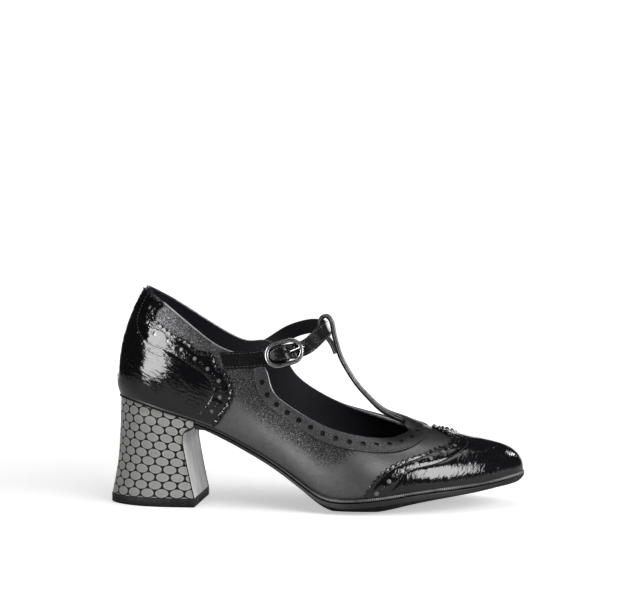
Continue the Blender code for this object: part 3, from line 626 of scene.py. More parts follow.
def grain_group() -> bpy.types.NodeTree:
    """Pebbled grain of printed leather: height of the pebbles and the flecks that catch the light; where it lies
    calm, an even lighter tone that is painted sheen.
    """
    pebble_merge = 0.35
    fold_scale, fold_detail, fold_height = 0.16, 4.0, 0.8
    fold_range, fold_shade = (0.25, 0.70), (0.82, 1.0)
    fleck_scale, fleck_range = 1.3, (0.46, 0.84)
    calm_sheen_fleck = 0.64
    board, given = shader_group("leather_grain")
    pebbles = board.add("ShaderNodeTexVoronoi", {"Vector": given["Vector"], "Scale": given["Scale"],
                                                 "Smoothness": pebble_merge}, feature="SMOOTH_F1")
    folds = board.noise(given["Vector"], board.math("MULTIPLY", given["Scale"], fold_scale), fold_detail)
    flecks = board.noise(given["Vector"], board.math("MULTIPLY", given["Scale"], fleck_scale))
    mound = board.math("SUBTRACT", 1.0, pebbles.outputs["Distance"])
    rough = board.math("SUBTRACT", 1.0, given["Calm"])
    height = board.math("MULTIPLY_ADD", folds, fold_height, board.math("MULTIPLY", mound, rough))
    # Calm grain takes one fixed fleck value, an even lighter tone: painted sheen.
    fleck = board.math("MULTIPLY_ADD", board.math("SUBTRACT", flecks, calm_sheen_fleck), rough, calm_sheen_fleck)
    shade = board.stretch(folds, *fold_range, *fold_shade)
    mask = board.math("MULTIPLY", board.stretch(fleck, *fleck_range), shade)
    board.add("NodeGroupOutput", {"Height": height, "Mask": mask})
    return board.tree


def crinkle_group() -> bpy.types.NodeTree:
    """Fine creases of crinkled patent leather, shallower where it lies calm."""
    broad_scale, broad_range, broad_depth = 0.22, (0.36, 0.62), (0.25, 1.0)
    crease_roughness, crease_bend, crease_range = 0.45, 0.7, (0.35, 0.75)
    board, given = shader_group("patent_crinkle")
    warp = board.noise(given["Vector"], board.math("MULTIPLY", given["Scale"], broad_scale))
    creases = board.noise(given["Vector"], given["Scale"], Roughness=crease_roughness, Distortion=crease_bend)
    broad = board.stretch(warp, *broad_range, *broad_depth)
    rough = board.math("MULTIPLY", broad, board.math("SUBTRACT", 1.0, given["Calm"]))
    height = board.math("MULTIPLY", creases, rough)
    board.add("NodeGroupOutput", {"Height": height, "Mask": board.stretch(creases, *crease_range)})
    return board.tree


def mottle_group() -> bpy.types.NodeTree:
    """Soft cloudy wear with fine dust in it."""
    cloud_detail, cloud_range = 5.0, (0.32, 0.70)
    dust_scale, dust_height = 14.0, 0.4
    board, given = shader_group("soft_mottle")
    clouds = board.noise(given["Vector"], given["Scale"], cloud_detail)
    dust = board.noise(given["Vector"], board.math("MULTIPLY", given["Scale"], dust_scale))
    height = board.math("MULTIPLY_ADD", dust, dust_height, clouds)
    board.add("NodeGroupOutput", {"Height": height, "Mask": board.stretch(clouds, *cloud_range)})
    return board.tree


def ribs_group() -> bpy.types.NodeTree:
    """Close ribs across a sole's edge, worn a little, with painted highlights on their crests."""
    wear_scale, wear_detail, glint_range = 90.0, 4.0, (0.3, 0.7)
    half = 0.5
    board, given = shader_group("edge_ribs")
    along = board.add("ShaderNodeSeparateXYZ", {0: given["Vector"]}).outputs[0]
    turns = board.math("MULTIPLY", board.math("MULTIPLY", along, given["Scale"]), 2.0 * math.pi)
    ribs = board.math("MULTIPLY_ADD", board.math("SINE", turns), half, half)
    wear = board.noise(given["Vector"], wear_scale, wear_detail)
    cut = board.math("MULTIPLY", ribs, board.math("SUBTRACT", 1.0, given["Calm"]))
    height = board.math("MULTIPLY", cut, wear)
    # Mask: the ribs' crests painted light, as highlights broken up by the noise.
    mask = board.math("MULTIPLY", cut, board.stretch(wear, *glint_range))
    board.add("NodeGroupOutput", {"Height": height, "Mask": mask})
    return board.tree


def ovals_group() -> bpy.types.NodeTree:
    """Rows of ovals that nest between those of the next rows; one oval fills one unit of UV."""
    oval_half, oval_rim = (0.445, 0.535), (0.93, 1.03)
    rim_worn, rim_bright = (0.62, 0.92), (0.0, 0.20)
    dust_scale, dust_detail, dust_range, dust_bright = 7.0, 5.0, (0.25, 0.75), (0.70, 0.86)
    crown = (0.70, 1.05)
    half = 0.5
    falling = (1.0, 0.0)
    board, given = shader_group("oval_net")
    split = board.add("ShaderNodeSeparateXYZ", {0: given["Vector"]})
    across, down = split.outputs[0], split.outputs[1]
    odd = board.math("MODULO", board.math("FLOOR", down), 2.0)
    shifted = board.math("MULTIPLY_ADD", odd, half, across)
    x = board.math("SUBTRACT", board.math("FRACT", shifted), half)
    y = board.math("SUBTRACT", board.math("FRACT", down), half)
    next_x = board.math("SUBTRACT", half, board.math("ABSOLUTE", x))
    next_y = board.math("SUBTRACT", 1.0, board.math("ABSOLUTE", y))
    spans = []
    for place in ((x, y), (next_x, next_y)):
        wide, tall = (board.math("POWER", board.math("DIVIDE", far, reach), 2.0)
                      for far, reach in zip(place, oval_half))
        spans.append(board.math("SQRT", board.math("ADD", wide, tall)))
    radius = board.math("MINIMUM", *spans)
    dust = board.noise(given["Vector"], dust_scale, dust_detail)
    worn = board.math("ADD", board.stretch(dust, *dust_range, *dust_bright),
                      board.stretch(radius, *rim_worn, *rim_bright))
    mask = board.math("MULTIPLY", board.stretch(radius, *oval_rim, *falling), worn)
    board.add("NodeGroupOutput", {"Height": board.stretch(radius, *crown, *falling), "Mask": mask})
    return board.tree


GROUPS = {
    Pattern.GRAIN: grain_group,
    Pattern.CRINKLE: crinkle_group,
    Pattern.SMOOTH: mottle_group,
    Pattern.RIBBED: ribs_group,
    Pattern.OVALS: ovals_group,
}


@dataclass(frozen=True)
class Finish:
    """Finish of a surface: two colours and the pattern that mixes them."""

    name: str
    pattern: Pattern
    size: float              # of one grain, crease, cloud or rib
    dark: Colour
    light: Colour
    roughness: Pair          # where the pattern is dark and where it is light
    depth: float = 0.05      # of the relief
    strength: float = 0.5    # of the relief's shading
    metallic: float = 0.0
    specular: float = 0.5
    stretch: Triple = (1.0, 1.0, 1.0)    # of one grain or crease along each axis
    tilt: float = 0.0        # of those axes about Y, in degrees
    calm: Optional[Triple] = None    # share of the relief that is lost between two distances from the edge; on grain the calm part also turns an even lighter tone, painted sheen

    def material(self, groups: dict[Pattern, bpy.types.NodeTree]) -> bpy.types.Material:
        """Build the finish as a procedural material.

        Args:
            groups: node groups by pattern, made when they are first needed.

        Returns:
            The material.
        """
        made = bpy.data.materials.new(self.name)
        made.use_nodes = True
        board = Board(made.node_tree)
        shader = made.node_tree.nodes["Principled BSDF"]
        if self.pattern not in groups:
            groups[self.pattern] = GROUPS[self.pattern]()
        places = board.add("ShaderNodeTexCoord").outputs
        source = places["UV" if self.pattern is Pattern.OVALS else "Object"]
        turn = (0.0, math.radians(self.tilt), 0.0)
        mapped = board.add("ShaderNodeMapping", {"Vector": source, "Rotation": turn, "Scale": self.stretch},
                           vector_type="TEXTURE").outputs[0]
        group = board.add("ShaderNodeGroup", {"Vector": mapped, "Scale": 1.0 / (self.size * MM)},
                          node_tree=groups[self.pattern])
        if self.calm:
            near, far, lost = self.calm
            inward = board.add("ShaderNodeSeparateXYZ", {0: places["UV"]}).outputs[1]
            board.join(board.stretch(inward, near, far, 0.0, lost), group.inputs["Calm"])
        mask = group.outputs["Mask"]
        board.join(board.blend(mask, self.dark, self.light), shader.inputs["Base Color"])
        board.join(board.stretch(mask, 0.0, 1.0, *self.roughness), shader.inputs["Roughness"])
        bump = board.add("ShaderNodeBump", {"Strength": self.strength, "Distance": self.depth * MM,
                                            "Height": group.outputs["Height"]})
        board.join(bump.outputs[0], shader.inputs["Normal"])
        shader.inputs["Metallic"].default_value = self.metallic
        shader.inputs["Specular IOR Level"].default_value = self.specular
        return made


@dataclass
class Wardrobe:
    """Every finish of the shoe, made into materials once."""

    finishes: tuple[Finish, ...] = (
        # Low on the wall and on the vamp's front this leather lies calm and turns an even lighter tone: painted
        # sheen.
        Finish("charcoal_leather", Pattern.GRAIN, 0.62, (0.018, 0.018, 0.019), (0.26, 0.26, 0.265),
               (0.42, 0.33), depth=0.09, strength=0.8, metallic=0.95, calm=(34.0, 64.0, 0.85)),
        Finish("facing_leather", Pattern.GRAIN, 0.75, (0.045, 0.045, 0.047), (0.17, 0.17, 0.173),
               (0.42, 0.33), depth=0.11, strength=0.8, metallic=0.95),
        # Lighter than the wall's leather so that the beads show bright lines: painted highlight.
        Finish("highlighted_leather_edge", Pattern.GRAIN, 0.6, (0.22, 0.22, 0.225), (0.40, 0.40, 0.41),
               (0.34, 0.26), depth=0.03, strength=0.4, metallic=0.4),
        Finish("wing_patent", Pattern.CRINKLE, 1.2, (0.004, 0.004, 0.005), (0.007, 0.007, 0.008),
               (0.09, 0.06), depth=0.34, strength=0.8, stretch=(1.0, 2.0, 4.5), tilt=25.0,
               calm=(14.0, 30.0, 0.35)),
        Finish("counter_patent", Pattern.CRINKLE, 1.4, (0.004, 0.004, 0.005), (0.007, 0.007, 0.008),
               (0.09, 0.06), depth=0.46, strength=0.8, stretch=(2.9, 2.9, 1.0), tilt=28.0,
               calm=(18.0, 34.0, 0.7)),
        Finish("strap_patent", Pattern.CRINKLE, 0.7, (0.007, 0.007, 0.008), (0.013, 0.013, 0.014),
               (0.18, 0.12), depth=0.14, strength=0.7, specular=0.3),
        Finish("navy_lining", Pattern.GRAIN, 0.6, (0.0045, 0.0048, 0.0095), (0.011, 0.0115, 0.021),
               (0.62, 0.50), depth=0.04, strength=0.4, specular=0.25),
        # Near-black for the wall behind the facing and for its pricks: painted shade in the holes.
        Finish("hole_shade", Pattern.SMOOTH, 4.0, (0.006, 0.006, 0.007), (0.012, 0.012, 0.013), (0.32, 0.22),
               specular=0.4),
        Finish("dot_grey", Pattern.SMOOTH, 2.0, (0.12, 0.12, 0.12), (0.22, 0.22, 0.22), (0.42, 0.32),
               metallic=0.6),
        Finish("black_thread", Pattern.SMOOTH, 0.8, (0.010, 0.010, 0.011), (0.034, 0.034, 0.035),
               (0.6, 0.45)),
        Finish("grey_thread", Pattern.SMOOTH, 0.8, (0.016, 0.016, 0.017), (0.05, 0.05, 0.052), (0.5, 0.4),
               specular=0.25),
        Finish("sole_black", Pattern.SMOOTH, 9.0, (0.008, 0.008, 0.0085), (0.017, 0.017, 0.018), (0.46, 0.34),
               depth=0.04, strength=0.4, specular=0.3),
        # Darker, duller black: on the sole's underside it stands in for shade, and it also covers the breast's top
        # and the heel's seam.
        Finish("sole_black_and_underside_shade", Pattern.SMOOTH, 9.0, (0.004, 0.004, 0.0045), (0.009, 0.009, 0.0095),
               (0.65, 0.55), depth=0.04, strength=0.4, specular=0.1),
        # The ribs' crests are painted light: painted highlight.
        Finish("sole_rib", Pattern.RIBBED, 1.1, (0.012, 0.012, 0.013), (0.30, 0.30, 0.302), (0.40, 0.26),
               depth=0.20, strength=0.9, calm=(95.0, 130.0, 1.0)),
        Finish("heel_ovals", Pattern.OVALS, 1000.0, (0.005, 0.005, 0.005), (0.47, 0.465, 0.445), (0.5, 0.5),
               depth=0.10, strength=0.5, specular=0.15),
        Finish("heel_breast", Pattern.SMOOTH, 5.0, (0.52, 0.52, 0.515), (0.70, 0.70, 0.69), (0.36, 0.30),
               depth=0.03, strength=0.4, stretch=(1.0, 1.0, 9.0)),
        Finish("lift_black", Pattern.SMOOTH, 3.0, (0.004, 0.004, 0.004), (0.011, 0.011, 0.011), (0.65, 0.55),
               depth=0.03, strength=0.4, specular=0.15),
        Finish("gunmetal", Pattern.SMOOTH, 5.0, (0.30, 0.30, 0.305), (0.40, 0.40, 0.405), (0.28, 0.22),
               depth=0.01, strength=0.2, metallic=1.0),
    )
    made: dict[str, bpy.types.Material] = field(default_factory=dict)
    groups: dict[Pattern, bpy.types.NodeTree] = field(default_factory=dict)

    def __getitem__(self, name: str) -> bpy.types.Material:
        """Material of a finish, built when it is first asked for."""
        if name not in self.made:
            found = next(finish for finish in self.finishes if finish.name == name)
            self.made[name] = found.material(self.groups)
        return self.made[name]


@dataclass
class Stitching:
    """Rows of stitches, each a short flattened bead of thread."""

    name: str
    thread: bpy.types.Material
    slot: Slot
    pitch: float = 1.3
    length: float = 1.05
    width: float = 0.40
    sides: tuple[int, int] = (6, 4)
    mesh: bmesh.types.BMesh = field(default_factory=bmesh.new)

    def sew(self, line: Array, out: Array) -> None:
        """Lay stitches along a line.

        Args:
            line: points of the seam.
            out: outward directions of the surface there.
        """
        knots = chord_knots(line)
        count = max(2, int(knots[-1] / self.pitch))
        at = (np.arange(count) + 0.5) * knots[-1] / count
        centre, normal = read_line(at, knots, line), read_line(at, knots, out)
        tangent = unit(np.gradient(centre, axis=0))
        side = unit(np.cross(normal, tangent))
        normal = np.cross(tangent, side)
        row = bmesh.new()
        for c, t, s, n in zip(LAST.place(centre), tangent, side, normal):
            matrix = Matrix.Identity(4)
            for column, axis, size in ((0, t, self.length), (1, s, self.width), (2, n, self.width)):
                matrix.col[column].xyz = Vector(axis) * (size / 2 * MM)
            matrix.translation = Vector(c)
            bmesh.ops.create_uvsphere(row, u_segments=self.sides[0], v_segments=self.sides[1],
                                      radius=1.0, matrix=matrix)
        sewn = bpy.data.meshes.new("row")
        row.to_mesh(sewn)
        row.free()
        self.mesh.from_mesh(sewn)
        bpy.data.meshes.remove(sewn)

    def sew_places(self, places: Array, lift: float) -> None:
        """Lay stitches along places (station, share) of the upper, lift above it."""
        self.sew(LAST.on(places, lift), LAST.normal(*places.T))

    def finish(self) -> bpy.types.Object:
        """Make the stitches one piece."""
        return add_piece(self.name, self.mesh, [self.thread])


PRICK_SIDES = 8
PRICK_DEPTH = 0.08
PRICK_TAPER = 0.7
TRIM_STEPS = 800
BASE_STEPS = 400


def pinholes(name: str, places: Array, lift: float, radius: float, material: bpy.types.Material) -> bpy.types.Object:
    """Small flat pricks in the leather.

    Args:
        name: name of the piece.
        places: places (station, share) of the pricks.
        lift: height of the leather's face above the upper.
        radius: radius of a prick.
        material: its finish.

    Returns:
        All the pricks as one piece.
    """
    mesh = bmesh.new()
    for centre, normal in zip(LAST.place(LAST.on(places, lift)), LAST.normal(*places.T)):
        turn = Vector((0.0, 0.0, 1.0)).rotation_difference(Vector(normal)).to_matrix().to_4x4()
        bmesh.ops.create_cone(mesh, cap_ends=True, segments=PRICK_SIDES, radius1=radius * MM,
                              radius2=radius * PRICK_TAPER * MM, depth=PRICK_DEPTH * MM,
                              matrix=Matrix.Translation(Vector(centre)) @ turn)
    return add_piece(name, mesh, [material])


def trim_line(table: Sequence[Pair], count: int) -> Array:
    """Places at even distances along a smooth line drawn through places of the upper."""
    places = np.array(table, float)
    knots = chord_knots(LAST.on(places))
    fine = Spline(knots, places)(np.linspace(0.0, knots[-1], TRIM_STEPS))
    measured = chord_knots(LAST.on(fine))
    return read_line(np.linspace(0.0, measured[-1], count), measured, fine)


@dataclass
class TrimPatch:
    """Piece of leather on the upper, ruled from a base line to a cut edge.

    Every column runs from the base line to the edge. The last rows lie close to the edge, so that it can be
    rounded and pinked.
    """

    base: Array
    edge: Array
    lift: float
    rows: int
    rounding: float = 0.35
    edge_rows: tuple[float, ...] = (1.6, 1.1, 0.7, 0.40, 0.18, 0.06, 0.0)
    tooth_pitch: float = 3.4
    tooth_depth: float = 0.0
    tooth_reach: float = 2.0
    furrow_depth: float = 0.30
    furrow_half: float = 0.95
    base_drop: float = 0.0
    base_reach: float = 7.0
    rule_steps: int = 48
    slant_row: int = -4      # step of a column that shows which way it runs into its edge
    least_slant: float = 0.35
    edge_share: float = 2.5  # least length of a column, in spans of its edge rows, that keeps them whole

    def __post_init__(self) -> None:
        """Measure every column."""
        self.ruling = np.linspace(0.0, 1.0, self.rule_steps)
        path = self.at(np.tile(self.ruling, (len(self.edge), 1)))
        points = LAST.on(path)
        steps = np.linalg.norm(np.diff(points, axis=1), axis=-1)
        self.reach = np.concatenate([np.zeros((len(points), 1)), np.cumsum(steps[:, ::-1], axis=1)], axis=1)
        edge = LAST.on(self.edge)
        self.along_edge = chord_knots(edge)
        self.outward = unit(np.cross(np.gradient(edge, axis=0), LAST.normal(*self.edge.T)))
        inner = edge - points[:, self.slant_row]
        length = np.linalg.norm(inner, axis=-1)
        toward = np.einsum("ij,ij->i", inner, self.outward)
        if toward.mean() < 0:
            self.outward = -self.outward
            toward = -toward
        self.slant = np.clip(toward / np.maximum(length, SMALL), self.least_slant, 1.0)

    def at(self, ruling: Array) -> Array:
        """Places at shares of each column, from base to edge."""
        share = ruling[..., None]
        return self.base[:, None] * (1.0 - share) + self.edge[:, None] * share

    def ruling_at(self, distance: Array) -> Array:
        """Share of each column at distances from its edge, columns by distances."""
        backward = 1.0 - self.ruling
        return np.array([np.interp(row, reach, backward) for row, reach in zip(distance, self.reach)])

    def inset(self, distance: float, straight: bool = True) -> Array:
        """Places at one distance from the edge, one for each column that is long enough.

        Args:
            distance: distance from the edge.
            straight: whether it is measured square to the edge.

        Returns:
            Places (station, share).
        """
        slanted = distance / self.slant if straight else np.full(len(self.edge), distance)
        places = self.at(self.ruling_at(slanted[:, None]))[:, 0]
        return places[self.reach[:, -1] > slanted]

    def sheet(self, seams: Sequence[Array] = ()) -> Sheet:
        """Outer face of the piece, with its edge rounded and pinked.

        Args:
            seams: rows of places (station, share) where stitches pull the leather in.

        Returns:
            The sheet, with its UV map in millimetres along the edge and away from it.
        """
        near = np.array(self.edge_rows)
        span = self.reach[:, -1]
        shrink = np.minimum(1.0, span / (self.edge_share * near[0]))
        distance = near[None] * shrink[:, None]
        close_rows = self.ruling_at(distance)
        far_rows = np.linspace(0.0, 1.0, self.rows, endpoint=False)[None] * close_rows[:, :1]
        ruling = np.concatenate([far_rows, close_rows], axis=1)
        far = np.array([np.interp(1.0 - row, 1.0 - self.ruling[::-1], reach)
                        for row, reach in zip(far_rows, self.reach)])
        distance = np.concatenate([far, distance], axis=1)
        places = self.at(ruling)
        roll = np.clip(1.0 - distance / self.rounding, 0.0, 1.0)
        lift = self.lift - self.rounding * (1.0 - np.sqrt(1.0 - roll ** 2))
        lift = lift - self.furrow_depth * self._furrow(places, seams)
        low = np.clip(1.0 - (span[:, None] - distance) / self.base_reach, 0.0, 1.0)
        lift = lift - self.base_drop * low ** 2
        points = LAST.on(places, lift)
        if self.tooth_depth:
            wave = 1.0 - np.abs(np.sin(math.pi * self.along_edge / self.tooth_pitch))
            pull = np.clip(1.0 - distance / self.tooth_reach, 0.0, 1.0)
            cut = (wave * self.tooth_depth * shrink)[:, None] * pull
            points = points - self.outward[:, None] * cut[..., None]
        along = np.broadcast_to(self.along_edge[:, None], distance.shape)
        return Sheet(points, flat=np.stack([along, distance], axis=-1))

    def _furrow(self, places: Array, seams: Sequence[Array]) -> Array:
        """Share of a furrow's depth at each place, one on a seam and nothing further away."""
        points = LAST.on(places)
        depth = np.zeros(places.shape[:2])
        for seam in seams:
            line = LAST.on(seam)
            for column, row in zip(points, depth):
                nearest = np.linalg.norm(column[:, None] - line[None], axis=-1).min(axis=1)
                np.maximum(row, np.exp(-(nearest / self.furrow_half) ** 2), out=row)
        return depth


def seen_line(pixels: Sequence[Pair], onward: Sequence[Pair] = ()) -> list[Pair]:
    """Places of a line of the trim on the outer side.

    Args:
        pixels: points of the photograph that the line passes.
        onward: places where it goes on, past what the photograph shows clearly.

    Returns:
        Places (station, share) from end to end.
    """
    return [*LAST.seen(pixels), *onward]


WING_EDGE = seen_line(
    ((361.0, 499.5), (377.0, 476.0), (394.0, 463.5), (417.0, 455.0), (438.0, 447.0), (449.5, 443.0),
     (450.7, 439.0), (446.0, 434.6)),
    ((15.95, 0.81), (17.0, 0.87)),
)
WING_SEAM = seen_line(
    ((384.6, 495.5), (392.0, 488.5), (399.4, 480.0), (406.0, 473.0), (418.0, 468.0), (438.0, 463.3),
     (450.0, 458.0), (463.0, 450.0), (467.0, 442.0), (463.0, 438.0)),
    ((16.3, 0.705), (17.0, 0.77)),
)
WING_DOTS = seen_line(
    ((376.6, 493.4), (388.8, 482.0), (403.0, 470.5), (419.0, 463.4), (433.0, 457.4), (445.0, 451.4),
     (455.3, 445.7), (458.7, 440.0)),
    ((15.8, 0.695), (16.15, 0.76), (17.0, 0.825)),
)
FACING_EDGE = seen_line(
    ((254.6, 369.0), (255.0, 380.0), (257.0, 387.0), (261.0, 397.0), (273.5, 409.5), (303.0, 430.5),
     (338.0, 447.7), (378.0, 453.0), (406.0, 449.7), (419.5, 442.3), (424.4, 437.7), (425.6, 434.6),
     (425.3, 431.5)),
    ((15.2, 0.875), (17.0, 0.915)),
)
COUNTER_EDGE = seen_line(
    ((213.0, 428.5), (219.8, 421.4), (223.8, 414.7), (227.8, 408.7), (233.0, 397.0), (233.8, 390.6),
     (232.0, 383.0), (229.0, 376.0), (225.0, 370.0), (220.7, 368.0), (215.4, 355.4), (199.0, 350.0),
     (188.6, 341.0), (177.0, 335.7), (167.0, 328.6), (160.0, 323.0), (155.5, 318.0), (157.0, 310.7),
     (162.9, 304.2)),
)
COUNTER_SEAM = seen_line(
    ((197.0, 418.0), (203.0, 408.0), (210.7, 397.0), (212.7, 390.6), (212.4, 385.0), (207.0, 377.0),
     (201.7, 372.0), (196.0, 368.5), (172.5, 353.4), (153.0, 345.3), (145.7, 340.6), (140.4, 332.0),
     (138.6, 319.6), (143.0, 306.0), (149.1, 293.7)),
)
COUNTER_DOTS = seen_line(
    ((212.0, 411.0), (219.8, 398.3), (219.8, 383.0), (208.0, 369.0), (194.4, 358.0), (179.4, 348.0),
     (167.8, 341.0)),
    ((1.7, 0.727), (1.18, 0.80), (1.05, 0.92)),
)


def both_sides(table: Sequence[Pair], turn: float, count: int) -> tuple[Array, Array]:
    """Places along a line on the outer side and along its mirror image on the inner side.

    Args:
        table: places of the outer side.
        turn: station that the mirrored stations count back from.
        count: number of places on each side.

    Returns:
        The outer places and the inner ones.
    """
    return trim_line(table, count), trim_line(mirrored(table, turn), count)


def dot_row(rows: Sequence[Array], pitch: float, start: float) -> Array:
    """Places a pitch apart along rows of places, the first one start past each row's beginning."""
    found = []
    for row in rows:
        measured = chord_knots(LAST.on(row))
        found.append(read_line(np.arange(start, measured[-1] + SMALL, pitch), measured, row))
    return np.vstack(found)


def ruled_base(first: float, last: float, share: float, count: int) -> Array:
    """Places at even distances along one share of the wall between two stations."""
    stations = np.linspace(first, last, BASE_STEPS)
    measured = chord_knots(LAST.wall(stations, share))
    at = np.interp(np.linspace(0.0, measured[-1], count), measured, stations)
    return np.column_stack([at, np.full(count, share)])


@dataclass
class PatentOverlay:
    """Patent layer on the upper with a pinked edge, punched dots and rows of stitches."""

    wardrobe: Wardrobe
    lift: float = 1.15
    rows: int = 46
    thickness: float = 1.1
    tooth_depth: float = 1.6
    stitch_inset: float = 2.5
    stitch_sink: float = 0.12
    dot_pitch: float = 9.2
    dot_radius: float = 1.4
    dot_lift: float = 0.5
    dot_rim: float = 1.1     # radius of the grey leather under a dot, as a share of the dot's
    prick_radius: float = 0.32
    prick_shares: Pair = (0.40, 0.60)    # of the pitch, where the pricks lie between two dots
    line_steps: int = 300

    def _make(self, node: str, finish: str, dot_lines: tuple[Array, Array], seams: Sequence[Array],
              stitching: Stitching) -> None:
        """Make the layer of self.patch, its dots, its pricks and its stitches.

        Args:
            node: solid that it replaces.
            finish: name of its finish.
            dot_lines: lines that the dots follow, outer and inner side.
            seams: lines of places (station, share) that the stitches follow.
            stitching: thread to sew with.
        """
        rows = [dot_lines[0], dot_lines[1][::-1]]
        dots = dot_row(rows, self.dot_pitch, 0.0)
        between = [dot_row(rows, self.dot_pitch, self.dot_pitch * share) for share in self.prick_shares]
        grey = self.wardrobe["dot_grey"]
        sheet = self.patch.sheet(seams).close()
        sheet.punch(LAST.on(dots, self.lift), self.dot_radius).thicken(self.thickness)
        add_piece(f"{node}_patent", sheet.mesh, [self.wardrobe[finish]], [node])
        pinholes(f"{node}_dots", dots, self.dot_lift, self.dot_radius * self.dot_rim, grey)
        pinholes(f"{node}_pricks", np.vstack(between), self.lift, self.prick_radius, grey)
        for seam in seams:
            stitching.sew_places(seam, self.lift - self.stitch_sink)


@dataclass
class ToeWing(PatentOverlay):
    """Wing-shaped toe cap."""

    half_columns: int = 210

    def __post_init__(self) -> None:
        """Rule the patch from the foot line to the wing's edge."""
        outer, inner = both_sides(WING_EDGE, 2 * TOE_STATION, self.half_columns)
        edge = np.vstack([outer, inner[1:]])
        base = ruled_base(edge[0, 0], edge[-1, 0], 0.0, len(edge))
        self.patch = TrimPatch(base, edge, self.lift, self.rows, tooth_depth=self.tooth_depth)

    def build(self, stitching: Stitching) -> None:
        """Make the wing, its dots and its stitches."""
        dots, seam = (both_sides(line, 2 * TOE_STATION, self.line_steps) for line in (WING_DOTS, WING_SEAM))
        seams = [self.patch.inset(self.stitch_inset), np.vstack(seam)]
        self._make("toe_wing", "wing_patent", dots, seams, stitching)


@dataclass
class Counter(PatentOverlay):
    """Heel counter that runs up to the top line at the back."""

    foot: float = 0.018
    base_drop: float = 1.0
    half_columns: int = 230
    top_columns: int = 44
    dot_radius: float = 1.3

    def __post_init__(self) -> None:
        """Rule the side flaps and the back from the foot line to the counter's edge."""
        outer, inner = both_sides(COUNTER_EDGE[::-1], 0.0, self.half_columns)
        top = ruled_base(inner[-1, 0], outer[0, 0], outer[0, 1], self.top_columns)
        edge = np.vstack([inner, top[1:-1], outer])
        base = ruled_base(edge[0, 0], edge[-1, 0], self.foot, len(edge))
        self.patch = TrimPatch(base, edge, self.lift, self.rows, tooth_depth=self.tooth_depth,
                               base_drop=self.base_drop)
        flaps = (slice(0, len(inner)), slice(len(edge) - len(outer), len(edge)))
        self.sides = [TrimPatch(base[flap], edge[flap], self.lift, self.rows) for flap in flaps]

    def build(self, stitching: Stitching) -> None:
        """Make the counter, its dots and its stitches."""
        dots, seam = (both_sides(line, 0.0, self.line_steps) for line in (COUNTER_DOTS, COUNTER_SEAM))
        seams = [side.inset(self.stitch_inset) for side in self.sides] + list(seam)
        self._make("counter", "counter_patent", dots, seams, stitching)


# Outer face of the T-bar from the throat to the end of its fold: place along the shoe and height
T_BAR_PATH = (
    (160.9, 50.5), (152.1, 54.4), (145.7, 60.0), (138.5, 67.9), (132.1, 77.5), (128.1, 85.5), (126.1, 92.3),
    (124.9, 97.0), (124.1, 101.8), (122.7, 105.6), (119.6, 107.8), (116.5, 106.4), (115.4, 103.0),
    (115.8, 99.2), (118.6, 95.1), (122.2, 90.2), (124.3, 85.2),
)


@dataclass
class TBar:
    """Strip from the throat up over the instep, folded into the loop that the strap runs through."""

    half_width: float = 4.6
    crown_fade: float = 14.0
    lift_fade: float = 16.0
    rounding: float = 0.30
    slope_step: float = 0.05

    def __post_init__(self) -> None:
        """Draw the path of its outer face, from the middle of the throat."""
        self.middle = LAST.wall(float(TOE_STATION), 1.0)
        path = np.array([(self.middle[0], self.middle[2])] + list(T_BAR_PATH))
        knots = chord_knots(path)
        self.path = Spline(knots, path)
        self.length = float(knots[-1])

    def points(self, stations: Array, at: Array, lift: float, end_lift: float) -> Array:
        """Points of a layer of the T-bar.

        Args:
            stations: stations of its columns at the throat.
            at: distances of its rows along the path.
            lift: height of the layer above the path at the throat.
            end_lift: height of the layer above the path further up.

        Returns:
            Points, columns by rows.
        """
        root = LAST.wall(stations, 1.0)
        outer, inner = LAST.wall(T_BAR_EDGES, 1.0)[:, 1]
        share = 2.0 * (root[:, 1] - outer) / (inner - outer) - 1.0
        line = self.path(at)
        ahead = self.path(np.minimum(at + self.slope_step, self.length))
        run = unit(ahead - self.path(np.maximum(at - self.slope_step, 0.0)))
        fade = np.exp(-(at / self.crown_fade) ** 2)
        width = self.half_width + ((inner - outer) / 2 - self.half_width) * fade
        along = line[None, :, 0] + (root[:, :1] - self.middle[0]) * fade
        across = share[:, None] * width + self.middle[1] * fade
        height = line[None, :, 1] + (root[:, 2:] - self.middle[2]) * fade
        points = np.stack([along, across, height], axis=-1)
        out = np.column_stack([run[:, 1], np.zeros(len(at)), -run[:, 0]])
        start = LAST.normal(stations, 1.0)
        turn = np.exp(-(at / self.lift_fade) ** 2)[None, :, None]
        direction = unit(start[:, None] * turn + out[None] * (1.0 - turn))
        edge_distance = (1.0 - np.abs(share))[:, None] * width
        roll = np.clip(1.0 - edge_distance / self.rounding, 0.0, 1.0) * (1.0 - turn[..., 0])
        raised = end_lift + (lift - end_lift) * turn[..., 0]
        raised = raised - self.rounding * (1.0 - np.sqrt(1.0 - roll ** 2))
        return points + direction * raised[..., None]


